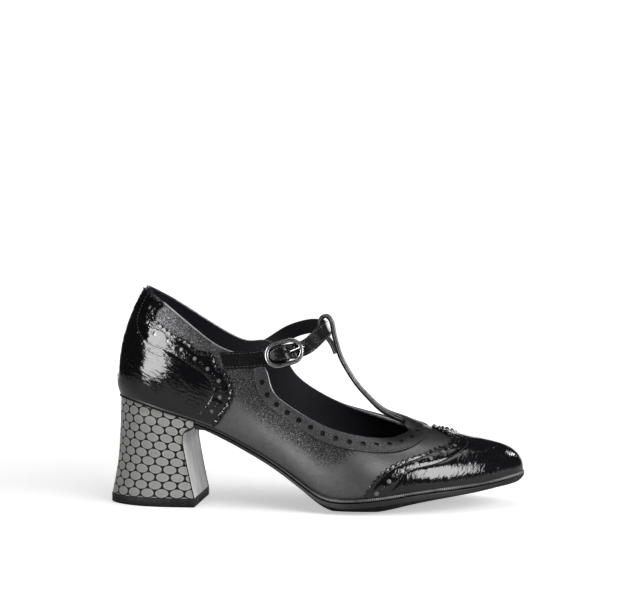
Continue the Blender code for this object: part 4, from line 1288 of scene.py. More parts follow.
@dataclass
class Facing:
    """Punched facing round the cut-outs, in one piece with the T-bar's outer leather."""

    wardrobe: Wardrobe
    t_bar: TBar
    lift: float = 1.0
    thickness: float = 0.9
    side_columns: int = 220
    throat_columns: int = 30
    rows: int = 20
    bar_rows: int = 170
    hole_radius: float = 1.5
    hole_pitch: float = 7.53
    hole_start: float = 9.1
    prick_radius: float = 0.42
    bar_hole_radius: float = 0.75
    bar_hole_pitch: float = 6.4
    bar_hole_from: float = 9.0
    bar_hole_share: float = 0.62     # of the T-bar's length that has holes
    hole_sink: float = 0.006         # share of the wall below the strip's middle
    hole_past: float = 0.3           # stations past the T-bar's edge
    hole_margin: float = 1.0
    prick_step: float = 0.028        # share of the wall above and below the holes' line
    stitch_inset: float = 1.1
    stitch_rise: float = 0.05
    edge_steps: int = 600
    edge_rows: tuple[float, ...] = (0.9, 0.5, 0.25, 0.1, 0.0)
    rounding: float = 0.3

    def __post_init__(self) -> None:
        """Rule the strip from the top line down to the facing's lower edge."""
        fine = trim_line(FACING_EDGE, self.edge_steps)
        throat = np.linspace(*T_BAR_EDGES, self.throat_columns + 1)
        side = self._even_side(fine)
        self.stations = np.concatenate([side, throat[1:-1], (2 * TOE_STATION - side)[::-1]])
        folded = np.where(self.stations > TOE_STATION, 2 * TOE_STATION - self.stations, self.stations)
        low = np.interp(folded, fine[:, 0], fine[:, 1])
        self.low = np.column_stack([self.stations, low])
        base = np.column_stack([self.stations, np.ones(len(self.stations))])
        self.patch = TrimPatch(base, self.low, self.lift, self.rows, self.rounding, self.edge_rows)
        self.throat = (self.stations >= T_BAR_EDGES[0]) & (self.stations <= T_BAR_EDGES[1])

    def _even_side(self, fine: Array) -> Array:
        """Stations of the side's columns, at even distances along the middle of the strip."""
        near = fine[fine[:, 0] <= T_BAR_EDGES[0]]
        near = np.vstack([near, [T_BAR_EDGES[0], np.interp(T_BAR_EDGES[0], fine[:, 0], fine[:, 1])]])
        measured = chord_knots(LAST.wall(near[:, 0], (near[:, 1] + 1.0) / 2))
        return np.interp(np.linspace(0.0, measured[-1], self.side_columns), measured, near[:, 0])

    def lower_share(self, stations: Array) -> Array:
        """Share of the wall where the facing's lower edge runs, past the top where there is none."""
        past_top = 2.0
        return np.interp(stations, *self.low.T, left=past_top, right=past_top)

    def build(self, stitching: Stitching) -> None:
        """Make the facing with the T-bar, its holes and its stitches."""
        sheet = self.patch.sheet()
        bmesh.ops.reverse_faces(sheet.mesh, faces=sheet.mesh.faces[:])
        at = np.linspace(0.0, self.t_bar.length, self.bar_rows)
        columns = self.stations[self.throat]
        bar = self.t_bar.points(columns, at, self.lift, 0.0)
        bar[:, 0] = LAST.wall(columns, 1.0, self.lift)
        Sheet(bar, mesh=sheet.mesh)
        sheet.close()
        sheet.punch(LAST.on(self._middle_row(self.hole_start), self.lift), self.hole_radius)
        spots = np.arange(self.bar_hole_from, self.t_bar.length * self.bar_hole_share, self.bar_hole_pitch)
        middle = self.t_bar.points(np.array([float(TOE_STATION)]), spots, self.lift, 0.0)[0]
        sheet.punch(middle, self.bar_hole_radius).thicken(self.thickness)
        add_piece("facing_and_t_bar", sheet.mesh, [self.wardrobe["facing_leather"]], ["facing"])
        # The pricks are black discs: painted shade in the holes.
        pinholes("facing_pricks", self._pricks(), self.lift, self.prick_radius, self.wardrobe["hole_shade"])
        seam = self.patch.inset(self.stitch_inset, straight=False)
        stitching.sew_places(seam, self.lift + self.stitch_rise)

    def _middle_row(self, start: float) -> Array:
        """Places along the middle of the strip, a pitch apart, on both sides."""
        middle = np.column_stack([self.stations, (self.low[:, 1] + 1.0) / 2 - self.hole_sink])
        outer = middle[self.stations <= T_BAR_EDGES[0] + self.hole_past]
        measured = chord_knots(LAST.on(outer))
        at = np.arange(start, measured[-1] - self.hole_margin, self.hole_pitch)
        places = read_line(at, measured, outer)
        return np.vstack([places, np.column_stack([2 * TOE_STATION - places[:, 0], places[:, 1]])])

    def _pricks(self) -> Array:
        """Places of the pairs of pricks between the holes."""
        row = self._middle_row(self.hole_start + self.hole_pitch / 2)
        return np.vstack([row + (0.0, step) for step in (-self.prick_step, self.prick_step)])


@dataclass
class Upper:
    """Vamp and quarters, lining and the beaded top line."""

    wardrobe: Wardrobe
    t_bar: TBar
    facing: Facing
    columns_per_station: int = 11
    rows: int = 43
    leather: float = 0.95
    lining_top: float = -1.0
    lining: float = 0.8
    bead_radius: float = 0.52
    lining_bead_radius: float = 0.42
    patent_top: float = 1.45     # stations from the heel where the top line is patent
    raised_line: float = 0.45    # stations from the T-bar's edges to the raised line
    raised_radius: float = 0.26
    top_stitch_inset: float = 1.9
    front_from: float = 10.4     # station where the vamp's front begins, smooth and painted lighter up to its top as sheen
    front_run: float = 0.9
    front_sheen_shift: float = 45.0
    under_margin: float = 0.02   # share of the wall by which the black painted hole shade stays behind the facing's edge
    bar_grid: tuple[int, int] = (17, 120)
    raised_from: float = 2.0
    raised_steps: int = 160
    raised_sides: int = 6
    bead_steps: int = 20         # to a station
    bead_sides: int = 10
    top_stitch_run: Pair = (1.75, 5.4)
    top_stitch_steps: int = 160
    top_stitch_rise: float = 0.05
    probe_share: float = 0.9

    def build(self, stitching: Stitching) -> None:
        """Make the wall, the lining and the beads of the top line."""
        self._build_wall()
        self._build_lining()
        self._build_beads()
        self._sew_top_line(stitching)

    def _grid(self, lift: float) -> tuple[Array, Array, Array]:
        """Stations, shares and points of a whole wall at one lift."""
        stations = np.linspace(0.0, STATIONS, STATIONS * self.columns_per_station + 1)
        shares = np.linspace(0.0, 1.0, self.rows)
        station, share = np.meshgrid(stations, shares, indexing="ij")
        return station, share, LAST.wall(station, share, lift)

    def _build_wall(self) -> None:
        """Leather wall, painted black where the facing's holes look through to it, as shade in the holes; calm and
        lighter low down and on the vamp's front, a painted sheen.
        """
        station, share, points = self._grid(0.0)
        from_heel = TOE_STATION - np.abs(station - TOE_STATION)
        front = np.clip((from_heel - self.front_from) / self.front_run, 0.0, 1.0)
        # The calm distance drives the leather's painted sheen, lower on the wall and on the vamp's front.
        down = 100.0 * (1.0 - share) + self.front_sheen_shift * front
        sheet = Sheet(points, flat=np.stack([station, down], axis=-1))
        # Where the facing covers the wall it is painted black, as shade seen through the holes.
        under = share > self.facing.lower_share(station) + self.under_margin
        for face in sheet.faces_where(under):
            face.material_index = 1
        sheet.close().thicken(self.leather)
        add_piece("vamp_and_quarters", sheet.mesh,
                  [self.wardrobe["charcoal_leather"], self.wardrobe["hole_shade"]], ["upper"])

    def _build_lining(self) -> None:
        """Lining inside the wall and under the T-bar."""
        _, _, points = self._grid(self.lining_top)
        sheet = Sheet(points).close().thicken(self.lining)
        add_piece("upper_lining", sheet.mesh, [self.wardrobe["navy_lining"]], ["upper"])
        columns = np.linspace(*T_BAR_EDGES, self.bar_grid[0])
        at = np.linspace(0.0, self.t_bar.length, self.bar_grid[1])
        under = Sheet(self.t_bar.points(columns, at, self.lining_top, self.lining_top))
        under.thicken(self.lining)
        add_piece("t_bar_lining", under.mesh, [self.wardrobe["navy_lining"]], ["upper"])

    def _build_beads(self) -> None:
        """Folded edges of leather and lining along the top line; the leather beads and the T-bar's raised lines are
        painted lighter, as highlights.
        """
        ends = (T_BAR_EDGES[1], STATIONS - self.patent_top,
                STATIONS + self.patent_top, STATIONS + T_BAR_EDGES[0])
        leather, patent = bmesh.new(), bmesh.new()
        for mesh, first, last in zip((leather, patent, leather), ends, ends[1:]):
            self._bead(first, last, -self.leather / 2, self.bead_radius, mesh)
        at = np.linspace(self.raised_from, self.t_bar.length, self.raised_steps)
        face, edge = self.facing.lift, self.facing.lift - self.facing.thickness / 2
        for inset, height in ((self.raised_line, face), (0.0, edge)):
            for station in T_BAR_EDGES[0] + inset, T_BAR_EDGES[1] - inset:
                line, above = (self.t_bar.points(np.array([station]), at, lift, lift - face)[0]
                               for lift in (height, height + 1.0))
                tube(line, above - line, self.raised_radius, self.raised_sides, leather)
        add_piece("top_line_bead", leather, [self.wardrobe["highlighted_leather_edge"]])
        add_piece("counter_top_bead", patent, [self.wardrobe["strap_patent"]])
        inside = bmesh.new()
        self._bead(ends[0], ends[-1], self.lining_top - self.lining / 2, self.lining_bead_radius, inside)
        add_piece("lining_bead", inside, [self.wardrobe["facing_leather"]])

    def _bead(self, first: float, last: float, lift: float, radius: float, mesh: bmesh.types.BMesh) -> None:
        """Round bead along the top line from station to station."""
        stations = np.linspace(first, last, int((last - first) * self.bead_steps))
        line, out = LAST.wall(stations, 1.0, lift), LAST.normal(stations, 1.0)
        tube(line, out, radius, self.bead_sides, mesh)

    def _sew_top_line(self, stitching: Stitching) -> None:
        """Stitches below the collar, from the counter to the tab and to the strap's end."""
        near, far = self.top_stitch_run
        for first, last in ((near, far), (STATIONS - far, STATIONS - near)):
            stations = np.linspace(first, last, self.top_stitch_steps)
            span = np.linalg.norm(LAST.wall(stations, 1.0) - LAST.wall(stations, self.probe_share), axis=1)
            drop = self.top_stitch_inset / span * (1.0 - self.probe_share)
            stitching.sew_places(np.column_stack([stations, 1.0 - drop]), self.top_stitch_rise)


BUCKLE_CENTRE = (99.0, -30.6, 86.9)
BUCKLE_ALONG = (0.95, 0.10, 0.29)
BUCKLE_UP = (0.0, 0.22, 0.975)


class BuckleFrame:
    """Directions of the buckle: along the strap, up its width and out of the ring's plane."""

    along = unit(BUCKLE_ALONG)
    out = unit(np.cross(along, BUCKLE_UP))
    up = np.cross(out, along)

    @classmethod
    def place(cls, points: Array) -> Array:
        """Points of the buckle's frame in the last's frame."""
        axes = np.column_stack([cls.along, cls.up, cls.out])
        return np.asarray(points, float) @ axes.T + np.array(BUCKLE_CENTRE)


@dataclass
class Ribbon:
    """Flat strip through centres with an outward direction at each."""

    centres: Array
    normals: Array
    slope_step: float = 0.02

    def __post_init__(self) -> None:
        """Draw the smooth middle line."""
        self.knots = chord_knots(self.centres)
        self.line = Spline(self.knots, np.hstack([self.centres, self.normals]))
        self.length = float(self.knots[-1])

    def frame_at(self, at: Array) -> tuple[Array, Array, Array]:
        """Middle, outward direction and direction across at distances along the strip."""
        read = self.line(at)
        ahead = self.line(np.minimum(at + self.slope_step, self.length))[:, :3]
        behind = self.line(np.maximum(at - self.slope_step, 0.0))[:, :3]
        tangent = unit(ahead - behind)
        normal = unit(read[:, 3:])
        across = unit(np.cross(normal, tangent))
        return read[:, :3], np.cross(tangent, across), across

    def points(self, at: Array, half_width: Array, across_shares: Array, lift: Array) -> Array:
        """Points of one face of the strip, along by across."""
        centre, normal, across = self.frame_at(at)
        wide = np.broadcast_to(half_width, len(at))[:, None, None] * across_shares[None, :, None]
        return centre[:, None] + across[:, None] * wide + normal[:, None] * np.asarray(lift)[..., None]

    def sew_edges(self, stitching: Stitching, at: Array, offset: float, lift: float) -> None:
        """Sew a row of stitches on either side of the middle.

        Args:
            stitching: thread to sew with.
            at: distances along the strip.
            offset: distance of each row from the middle.
            lift: height of the rows above the middle line.
        """
        centre, normal, across = self.frame_at(at)
        for side in (-offset, offset):
            stitching.sew(centre + across * side + normal * lift, normal)


def rounded_shares(count: int, half_width: float, rounding: float) -> tuple[Array, Array]:
    """Shares across a strip, close together at its rounded edges, and how far each lies below its face.

    Args:
        count: shares between the rounded edges.
        half_width: half of the strip's width.
        rounding: radius of its edges.

    Returns:
        The shares from -1 to 1, and the drop at each.
    """
    edge_steps = 5
    flat = np.linspace(-1.0, 1.0, count) * (1.0 - rounding / half_width)
    turn = np.sin(np.linspace(0.0, math.pi / 2, edge_steps)[1:])
    edge = flat[-1] + turn * (1.0 - flat[-1])
    shares = np.concatenate([-edge[::-1], flat, edge])
    distance = (1.0 - np.abs(shares)) * half_width
    roll = np.clip(1.0 - distance / rounding, 0.0, 1.0)
    return shares, rounding * (1.0 - np.sqrt(1.0 - roll ** 2))


# Middle of the strap in the buckle's frame
STRAP_AT_BUCKLE = (
    (-7.6, 1.3), (-5.0, 1.85), (-2.4, 2.2), (-0.4, 2.25), (1.4, 1.7), (3.0, 0.05), (4.4, -1.5), (6.0, -2.4),
    (8.0, -2.6), (10.0, -2.65),
)
# Middle of the strap over the instep
STRAP_OVER_INSTEP = (
    (117.6, -18.2, 96.6, 0.42, -0.80, 0.43),
    (120.2, -10.4, 99.2, 0.70, -0.57, 0.42),
    (120.2, -4.0, 100.0, 0.92, -0.12, 0.38),
    (120.3, 1.0, 100.3, 0.93, 0.02, 0.37),
    (120.1, 5.6, 100.3, 0.91, 0.18, 0.38),
    (114.0, 11.4, 101.0, 0.62, 0.65, 0.44),
    (105.5, 17.6, 100.0, 0.42, 0.78, 0.46),
    (96.0, 23.6, 96.8, 0.28, 0.86, 0.42),
)
STRAP_ON_QUARTER = ((85.6, 90.6), (80.5, 87.6), (74.5, 84.2))
TAB_ON_QUARTER = ((64.2, 82.4), (74.0, 82.7), (80.5, 83.1), (86.0, 83.9))


def on_wall(table: Sequence[Pair], start: Pair, lift: float) -> tuple[Array, Array]:
    """Points and outward directions at places on the wall.

    Args:
        table: places along the shoe and heights.
        start: station and share near the first.
        lift: height above the wall.

    Returns:
        The points and the directions.
    """
    centres, normals = [], []
    for along, height in table:
        start = LAST.find(along, height, start)
        normal = LAST.normal(*start)
        centres.append(LAST.wall(*start) + normal * lift)
        normals.append(normal)
    return np.array(centres), np.array(normals)


@dataclass
class Strap:
    """Ankle strap from its tip in the buckle, through the loop, to the inner quarter."""

    wardrobe: Wardrobe
    half_width: float = 4.3
    leather: float = 0.85
    thickness: float = 1.5
    rounding: float = 0.35
    step: float = 0.55
    across: int = 15
    overlay_gap: float = 0.35
    hole: Pair = (1.9, 4.8)
    hole_radius: float = 1.15
    spare_holes: tuple[float, ...] = (-3.6, 9.5)
    spare_radius: float = 0.75
    tip_shape: tuple[Pair, ...] = ((0.0, 0.35), (1.2, 0.62), (3.0, 0.80), (6.0, 0.92), (9.0, 1.0))
    end_shape: tuple[Pair, ...] = ((0.0, 0.72), (0.6, 0.92), (1.6, 1.0))
    lining_width: float = 0.97   # share of the strap's width
    lining_gap: float = 0.02
    stitch_inset: float = 1.1
    stitch_rise: float = 0.02
    stitch_margins: Pair = (4.0, 1.4)    # at the tip and at the quarter
    stitch_steps: int = 300

    def __post_init__(self) -> None:
        """Draw the strap's middle line."""
        tip = BuckleFrame.place([(along, 0.0, out) for along, out in STRAP_AT_BUCKLE])
        over = np.array(STRAP_OVER_INSTEP)
        lift = self.overlay_gap + self.thickness / 2
        end, end_normals = on_wall(STRAP_ON_QUARTER, (STATIONS - 6.0, 0.9), lift)
        centres = np.vstack([tip, over[:, :3], end])
        normals = np.vstack([np.tile(BuckleFrame.out, (len(tip), 1)), over[:, 3:], end_normals])
        self.ribbon = Ribbon(centres, normals)
        marks = [point[0] for point in STRAP_AT_BUCKLE]
        self.hole_at = float(np.interp(sum(self.hole) / 2, marks, self.ribbon.knots[:len(tip)]))

    def build(self, stitching: Stitching) -> None:
        """Make the patent face, the lining under it, the holes and the stitches."""
        at = np.linspace(0.0, self.ribbon.length, int(self.ribbon.length / self.step))
        width = np.interp(at, *zip(*self.tip_shape)) * self.half_width
        width *= np.interp(self.ribbon.length - at, *zip(*self.end_shape))
        shares, drop = rounded_shares(self.across, self.half_width, self.rounding)
        top = np.tile(self.thickness / 2 - drop, (len(at), 1))
        face = Sheet(self.ribbon.points(at, width, shares, top))
        holes = [self.hole_at] + [self.hole_at + step for step in self.spare_holes]
        centre, normal, _ = self.ribbon.frame_at(np.array(holes))
        face.punch(centre[:1] + normal[:1] * self.thickness / 2, self.hole_radius)
        face.punch(centre[1:] + normal[1:] * self.thickness / 2, self.spare_radius)
        face.thicken(self.leather)
        add_piece("strap_patent", face.mesh, [self.wardrobe["strap_patent"]], ["strap"])
        under_lift = np.tile(self.thickness / 2 - self.leather - self.lining_gap, (len(at), 1))
        under = Sheet(self.ribbon.points(at, width * self.lining_width, shares, under_lift))
        under.punch(centre[:1] + normal[:1] * (self.thickness / 2 - self.leather), self.hole_radius)
        under.thicken(self.thickness - self.leather - self.lining_gap)
        add_piece("strap_lining", under.mesh, [self.wardrobe["navy_lining"]], ["strap"])
        first, last = self.stitch_margins
        run = np.linspace(first, self.ribbon.length - last, self.stitch_steps)
        self.ribbon.sew_edges(stitching, run, self.half_width - self.stitch_inset,
                              self.thickness / 2 + self.stitch_rise)


@dataclass
class BuckleTab:
    """Patent tab on the outer quarter, folded round the buckle's bar and slotted for the prong."""

    wardrobe: Wardrobe
    half_width: float = 4.7
    thickness: float = 1.0
    rounding: float = 0.30
    step: float = 0.45
    across: int = 17
    overlay_gap: float = 0.35
    depth: float = -2.25
    fold: Pair = (-5.0, -2.0)
    fold_radius: float = 1.4
    bar_depth: float = -0.9
    fold_steps: int = 7
    slot_start: float = -3.4
    slot_half: float = 1.2
    end_slant: float = -1.2
    end_fade: float = 6.0
    stitch_inset: float = 1.0
    stitch_rise: float = 0.02
    stitch_margins: Pair = (1.2, 3.0)    # at the quarter and at the buckle
    stitch_steps: int = 120

    def __post_init__(self) -> None:
        """Draw the tab's middle line."""
        base, base_normals = on_wall(TAB_ON_QUARTER, (5.5, 0.9), self.overlay_gap + self.thickness / 2)
        bend = [(self.fold[0], self.depth, 0.0, 1.0)]
        for angle in np.linspace(-math.pi / 2, math.pi / 2, self.fold_steps):
            ahead, out = math.cos(angle), math.sin(angle)
            bend.append((self.fold_radius * ahead, self.bar_depth + self.fold_radius * out, -ahead, -out))
        bend.append((self.fold[1], self.bar_depth + self.fold_radius, 0.0, -1.0))
        centres = BuckleFrame.place([(along, 0.0, out) for along, out, _, _ in bend])
        normals = np.array([BuckleFrame.along * along + BuckleFrame.out * out for _, _, along, out in bend])
        self.ribbon = Ribbon(np.vstack([base, centres]), np.vstack([base_normals, normals]))
        self.wall_length = float(self.ribbon.knots[len(base)])

    def build(self, stitching: Stitching) -> None:
        """Make the tab and its stitches."""
        at = np.linspace(0.0, self.ribbon.length, int(self.ribbon.length / self.step))
        shares, drop = rounded_shares(self.across, self.half_width, self.rounding)
        lift = np.tile(self.thickness / 2 - drop, (len(at), 1))
        points = self.ribbon.points(at, self.half_width, shares, lift)
        centre = self.ribbon.frame_at(at)[0]
        cut = self.end_slant * np.exp(-at / self.end_fade)[:, None] * shares
        points = points + (centre[1] - centre[0]) / self.step * cut[..., None]
        sheet = Sheet(points)
        along = (centre - np.array(BUCKLE_CENTRE)) @ BuckleFrame.along
        first = int(np.argmax(along > self.slot_start))
        slot = np.zeros(points.shape[:2], bool)
        slot[first:] = np.abs(shares) * self.half_width < self.slot_half
        bmesh.ops.delete(sheet.mesh, geom=sheet.faces_where(slot), context="FACES")
        sheet.thicken(self.thickness)
        patent = self.wardrobe["strap_patent"]
        add_piece("buckle_tab_patent", sheet.mesh, [patent], ["buckle_tab"])
        first, last = self.stitch_margins
        run = np.linspace(first, self.wall_length - last, self.stitch_steps)
        self.ribbon.sew_edges(stitching, run, self.half_width - self.stitch_inset,
                              self.thickness / 2 + self.stitch_rise)


@dataclass
class Buckle:
    """Oval ring with its centre bar and the prong that holds the strap."""

    wardrobe: Wardrobe
    length: float = 22.0
    width: float = 14.8
    wire: float = 1.2
    bar_wire: float = 0.6
    bar_depth: float = -0.9
    prong_wire: float = 0.6
    clearance: float = 0.3
    corner_steps: int = 40
    section_steps: int = 28
    section_square: float = 2.6
    run_steps: int = 12
    face_groove: Pair = (0.22, 0.30)     # depth and half width
    wire_sides: int = 14
    bar_steps: int = 9
    curl_steps: int = 10
    prong_steps: int = 70
    prong_taper: tuple[Pair, ...] = ((0.0, 0.25), (0.25, 0.60), (0.9, 0.86), (4.0, 1.0))
    sharp: float = 60.0
    prong_curl: Pair = (150.0, 330.0)
    prong_rise: tuple[Pair, ...] = ((4.3, 0.05), (7.0, 1.25))
    prong_crest: Pair = (-0.8, 0.7)
    prong_tip: float = 0.9

    def build(self) -> None:
        """Make ring, bar and prong."""
        self._add("buckle_ring", self._ring(), "buckle_frame")
        self._add("buckle_bar", self._bar(), "buckle_frame")
        self._add("buckle_prong_polished", self._prong(), "buckle_prong")

    def _add(self, name: str, sheet: Sheet, node: str) -> None:
        """Put a metal piece in the scene for a solid."""
        add_piece(name, sheet.mesh, [self.wardrobe["gunmetal"]], [node], self.sharp)

    def _ring_path(self) -> Array:
        """Middle line of the ring in the buckle's frame."""
        radius = self.width / 2 - self.wire
        straight = self.length / 2 - self.wire - radius
        turn = np.linspace(-math.pi / 2, math.pi / 2, self.corner_steps)
        front = np.column_stack([straight + radius * np.cos(turn), radius * np.sin(turn)])
        run = np.linspace(straight, -straight, self.run_steps)[1:-1]
        half = np.vstack([front, np.column_stack([run, np.full(len(run), radius)])])
        half = np.column_stack([half, np.zeros(len(half))])
        return np.vstack([half, half * (-1.0, -1.0, 1.0)])

    def _ring(self) -> Sheet:
        """Ring with a softly squared section and a fine groove along its face."""
        path = self._ring_path()
        closed = np.vstack([path, path[:1]])
        ahead = np.roll(path, -1, axis=0)
        behind = np.roll(path, 1, axis=0)
        tangent = unit(ahead - behind)
        tangent = np.vstack([tangent, tangent[:1]])
        side = np.cross(tangent, (0.0, 0.0, 1.0))
        angle = np.linspace(0.0, 2.0 * math.pi, self.section_steps + 1)
        power = 2.0 / self.section_square
        reach = np.sign(np.cos(angle)) * np.abs(np.cos(angle)) ** power * self.wire
        depth = np.sign(np.sin(angle)) * np.abs(np.sin(angle)) ** power * self.wire
        groove, groove_half = self.face_groove
        depth = depth - np.where(depth > 0, groove * np.exp(-(reach / groove_half) ** 2), 0.0)
        points = closed[:, None] + side[:, None] * reach[None, :, None]
        points[..., 2] += depth[None]
        ring = Sheet(BuckleFrame.place(points)).close()
        bmesh.ops.recalc_face_normals(ring.mesh, faces=ring.mesh.faces[:])
        return ring

    def _bar(self) -> Sheet:
        """Centre bar that the tab folds round."""
        reach = self.width / 2 - self.wire
        path = [(0.0, across, self.bar_depth) for across in np.linspace(-reach, reach, self.bar_steps)]
        out = np.tile(BuckleFrame.out, (self.bar_steps, 1))
        return tube(BuckleFrame.place(path), out, self.bar_wire, self.wire_sides)

    def _prong(self) -> Sheet:
        """Prong curled round the bar, through the strap and over the end of the ring."""
        radius = self.bar_wire + self.clearance + self.prong_wire
        end = self.length / 2 - self.wire
        over = self.wire + self.clearance + self.prong_wire
        curl = np.radians(np.linspace(*self.prong_curl, self.curl_steps))
        path = [(radius * math.cos(a), 0.0, self.bar_depth + radius * math.sin(a)) for a in curl]
        path += [(along, 0.0, out) for along, out in self.prong_rise]
        path += [(end + along, 0.0, over) for along in self.prong_crest]
        path.append((end + self.wire + self.prong_tip, 0.0, self.wire))
        path = np.array(path)
        knots = chord_knots(path)
        at = np.linspace(0.0, knots[-1], self.prong_steps)
        smooth = BuckleFrame.place(Spline(knots, path)(at))
        taper = np.interp(knots[-1] - at, *zip(*self.prong_taper))
        out = np.tile(BuckleFrame.up, (self.prong_steps, 1))
        return tube(smooth, out, self.prong_wire * taper, self.wire_sides)


class HeelRing(NamedTuple):
    """One ring of the heel, by its height and place at the breast."""

    breast_height: float
    breast_along: float
    back_along: float
    half_width: float


LIFT_TOP = 5.0
HEEL_RINGS = (
    HeelRing(48.7, 48.2, 0.5, 26.0),
    HeelRing(46.6, 48.0, 0.5, 25.8),
    HeelRing(45.0, 47.6, 0.4, 25.6),
    HeelRing(44.1, 45.4, 0.4, 25.4),
    HeelRing(43.0, 43.2, 0.4, 25.2),
    HeelRing(41.3, 41.9, 0.3, 24.9),
    HeelRing(38.5, 41.1, 0.3, 24.4),
    HeelRing(32.0, 41.7, -0.1, 23.8),
    HeelRing(24.0, 43.2, -0.7, 23.2),
    HeelRing(16.0, 44.9, -2.0, 22.8),
    HeelRing(10.0, 46.2, -3.4, 22.6),
    HeelRing(LIFT_TOP + 0.05, 47.4, -4.6, 22.6),
)


@dataclass
class Heel:
    """Block heel covered in a print of ovals, with a plain breast and a black lift."""

    wardrobe: Wardrobe
    gap: float = 0.3
    columns: int = 150
    rows: int = 90
    breast_columns: int = 40
    oval_lengths: Pair = (8.7, 7.6)  # along the heel, at the lift and at the seat
    oval_pitch: float = 4.68
    print_slope: float = 0.27
    seam_radius: float = 0.55
    seam_place: Pair = (0.4, -0.2)    # outside the seat's edge and above it
    edge_radius: float = 0.3
    dark_above: float = 41.0         # height of the breast where the sole's black begins
    plan_steps: int = 400
    seam_sides: int = 8
    sharp: float = 50.0
    lift_rings: tuple[Pair, ...] = (     # height and growth past the heel
        (0.0, 0.0), (0.15, 0.25), (0.4, 0.4), (LIFT_TOP - 0.3, 0.4), (LIFT_TOP, 0.15),
    )

    def __post_init__(self) -> None:
        """Read the plan of the heel and its rings as smooth curves."""
        front = HEEL_RINGS[0].breast_along
        sides = [np.linspace(heel, LAST.knots[TOE_STATION], self.plan_steps) for heel in (0.0, 1.0)]
        ends = [float(np.interp(front, LAST.foot_plan(turn)[0][:, 0], turn)) for turn in sides]
        turn = np.linspace(ends[0], ends[1] - 1.0, 2 * self.plan_steps)
        plan = LAST.foot_plan(turn)[0]
        width = (plan[:, 1].max() - plan[:, 1].min()) / 2
        shares = np.column_stack([plan[:, 0].clip(0.0) / front, plan[:, 1] / width])
        lengths = chord_knots(shares * (front, width))
        self.plan = read_line(np.linspace(0.0, lengths[-1], self.columns), lengths, shares)
        rings = np.array(HEEL_RINGS)
        knots = chord_knots(rings[:, :2])
        self.rings = Spline(knots, rings)
        self.depth = np.linspace(0.0, knots[-1], self.rows)

    def ring(self, row: Array) -> Array:
        """Points round the heel for one row of ring values."""
        breast_height, breast_along, back_along, half_width = row
        top, bottom = HEEL_RINGS[0], HEEL_RINGS[-1]
        share = (top.breast_height - breast_height) / (top.breast_height - bottom.breast_height)
        x = back_along + self.plan[:, 0] * (breast_along - back_along)
        y = self.plan[:, 1] * half_width
        seat_x = top.back_along + self.plan[:, 0] * (top.breast_along - top.back_along)
        seat = LAST.foot_height(seat_x, self.plan[:, 1] * top.half_width) - self.gap
        return np.column_stack([x, y, (1.0 - share) * seat + share * bottom.breast_height])

    def build(self) -> None:
        """Make cover, breast, seam and lift."""
        wrap = np.stack([self.ring(row) for row in self.rings(self.depth)], axis=1)
        height = wrap[..., 2]
        seat = height[:, :1]
        level = (height - LIFT_TOP) / (seat - LIFT_TOP)
        sunk = self.print_slope * level * (seat.max() - seat)
        steps = np.linalg.norm(np.diff(wrap[..., :2], axis=0), axis=-1)
        around = np.concatenate([np.zeros((1, self.rows)), np.cumsum(steps, axis=0)])
        around = around - around[self.columns // 2]
        oval = np.interp(height, (LIFT_TOP, seat.max()), self.oval_lengths)
        down = (seat.max() - height - sunk) / self.oval_pitch
        cover = Sheet(wrap, flat=np.stack([around / oval, down], axis=-1))
        across = np.linspace(0.0, 1.0, self.breast_columns)[:, None, None]
        breast = wrap[-1][None] * (1.0 - across) + wrap[0][None] * across
        plain = Sheet(breast, mesh=cover.mesh)
        for number, chosen in ((1, np.ones(breast.shape[:2], bool)), (2, breast[..., 2] > self.dark_above)):
            for face in plain.faces_where(chosen):
                face.material_index = number
        cover.close()
        for face in cover.seal():
            face.material_index = 1
        dress = [self.wardrobe[name] for name in ("heel_ovals", "heel_breast", "sole_black_and_underside_shade")]
        add_piece("heel_cover", cover.mesh, dress, ["heel_block"], self.sharp)
        level = np.array((1.0, 1.0, 0.0))
        outward = unit((wrap[:, 0] - wrap[:, 0].mean(axis=0)) * level)
        seam = wrap[:, 0] + outward * self.seam_place[0] + (0.0, 0.0, self.seam_place[1])
        up = np.tile((0.0, 0.0, 1.0), (len(seam), 1))
        seams = tube(seam, up, self.seam_radius, self.seam_sides).mesh
        for edge in wrap[0], wrap[-1]:
            tube(edge, np.tile((0.0, 1.0, 0.0), (len(edge), 1)), self.edge_radius, self.seam_sides, seams)
        add_piece("heel_seat_seam", seams, [self.wardrobe["sole_black_and_underside_shade"]])
        self._build_lift(wrap[:, -1])

    def _build_lift(self, flat: Array) -> None:
        """Black top piece under the heel."""
        centre = flat[:, :2].mean(axis=0)
        outward = unit(flat[:, :2] - centre)
        rings = []
        for height, grow in self.lift_rings:
            ring = flat.copy()
            ring[:, :2] += outward * grow
            ring[:, 2] = height
            rings.append(ring)
        wrap = np.stack(rings, axis=1)
        wrap = np.concatenate([wrap, wrap[:1]])
        lift = Sheet(wrap).close()
        lift.seal()
        add_piece("heel_lift_rubber", lift.mesh, [self.wardrobe["lift_black"]], ["heel_lift"])


# Tread: percent of the last's length and height
TREAD_HEIGHT = (
    (21.1, 44.5), (23.5, 43.7), (25.2, 41.7), (27.8, 38.4), (33.4, 31.6), (39.1, 24.2), (44.7, 15.6),
    (48.7, 7.8), (52.1, 2.2), (55.6, -0.6), (61.7, -0.8), (66.9, 0.6), (72.1, 3.2), (79.9, 6.4),
    (88.2, 9.1), (93.8, 11.0), (97.6, 12.4), (99.0, 13.5), (99.8, 14.7), (100.4, 16.2), (100.8, 18.0),
)
SOLE_EDGE = (
    (21.1, 2.8), (23.5, 1.2), (27.8, 1.7), (48.0, 1.9), (56.0, 2.6), (75.0, 2.8), (90.0, 2.6),
    (95.0, 2.3), (98.0, 1.8), (99.6, 1.1), (100.7, 0.3),
)
SOLE_MARGIN = (
    (21.1, 0.5), (40.0, 0.7), (50.0, 1.4), (58.0, 2.2), (75.0, 2.2), (90.0, 2.1), (100.0, 2.0),
)


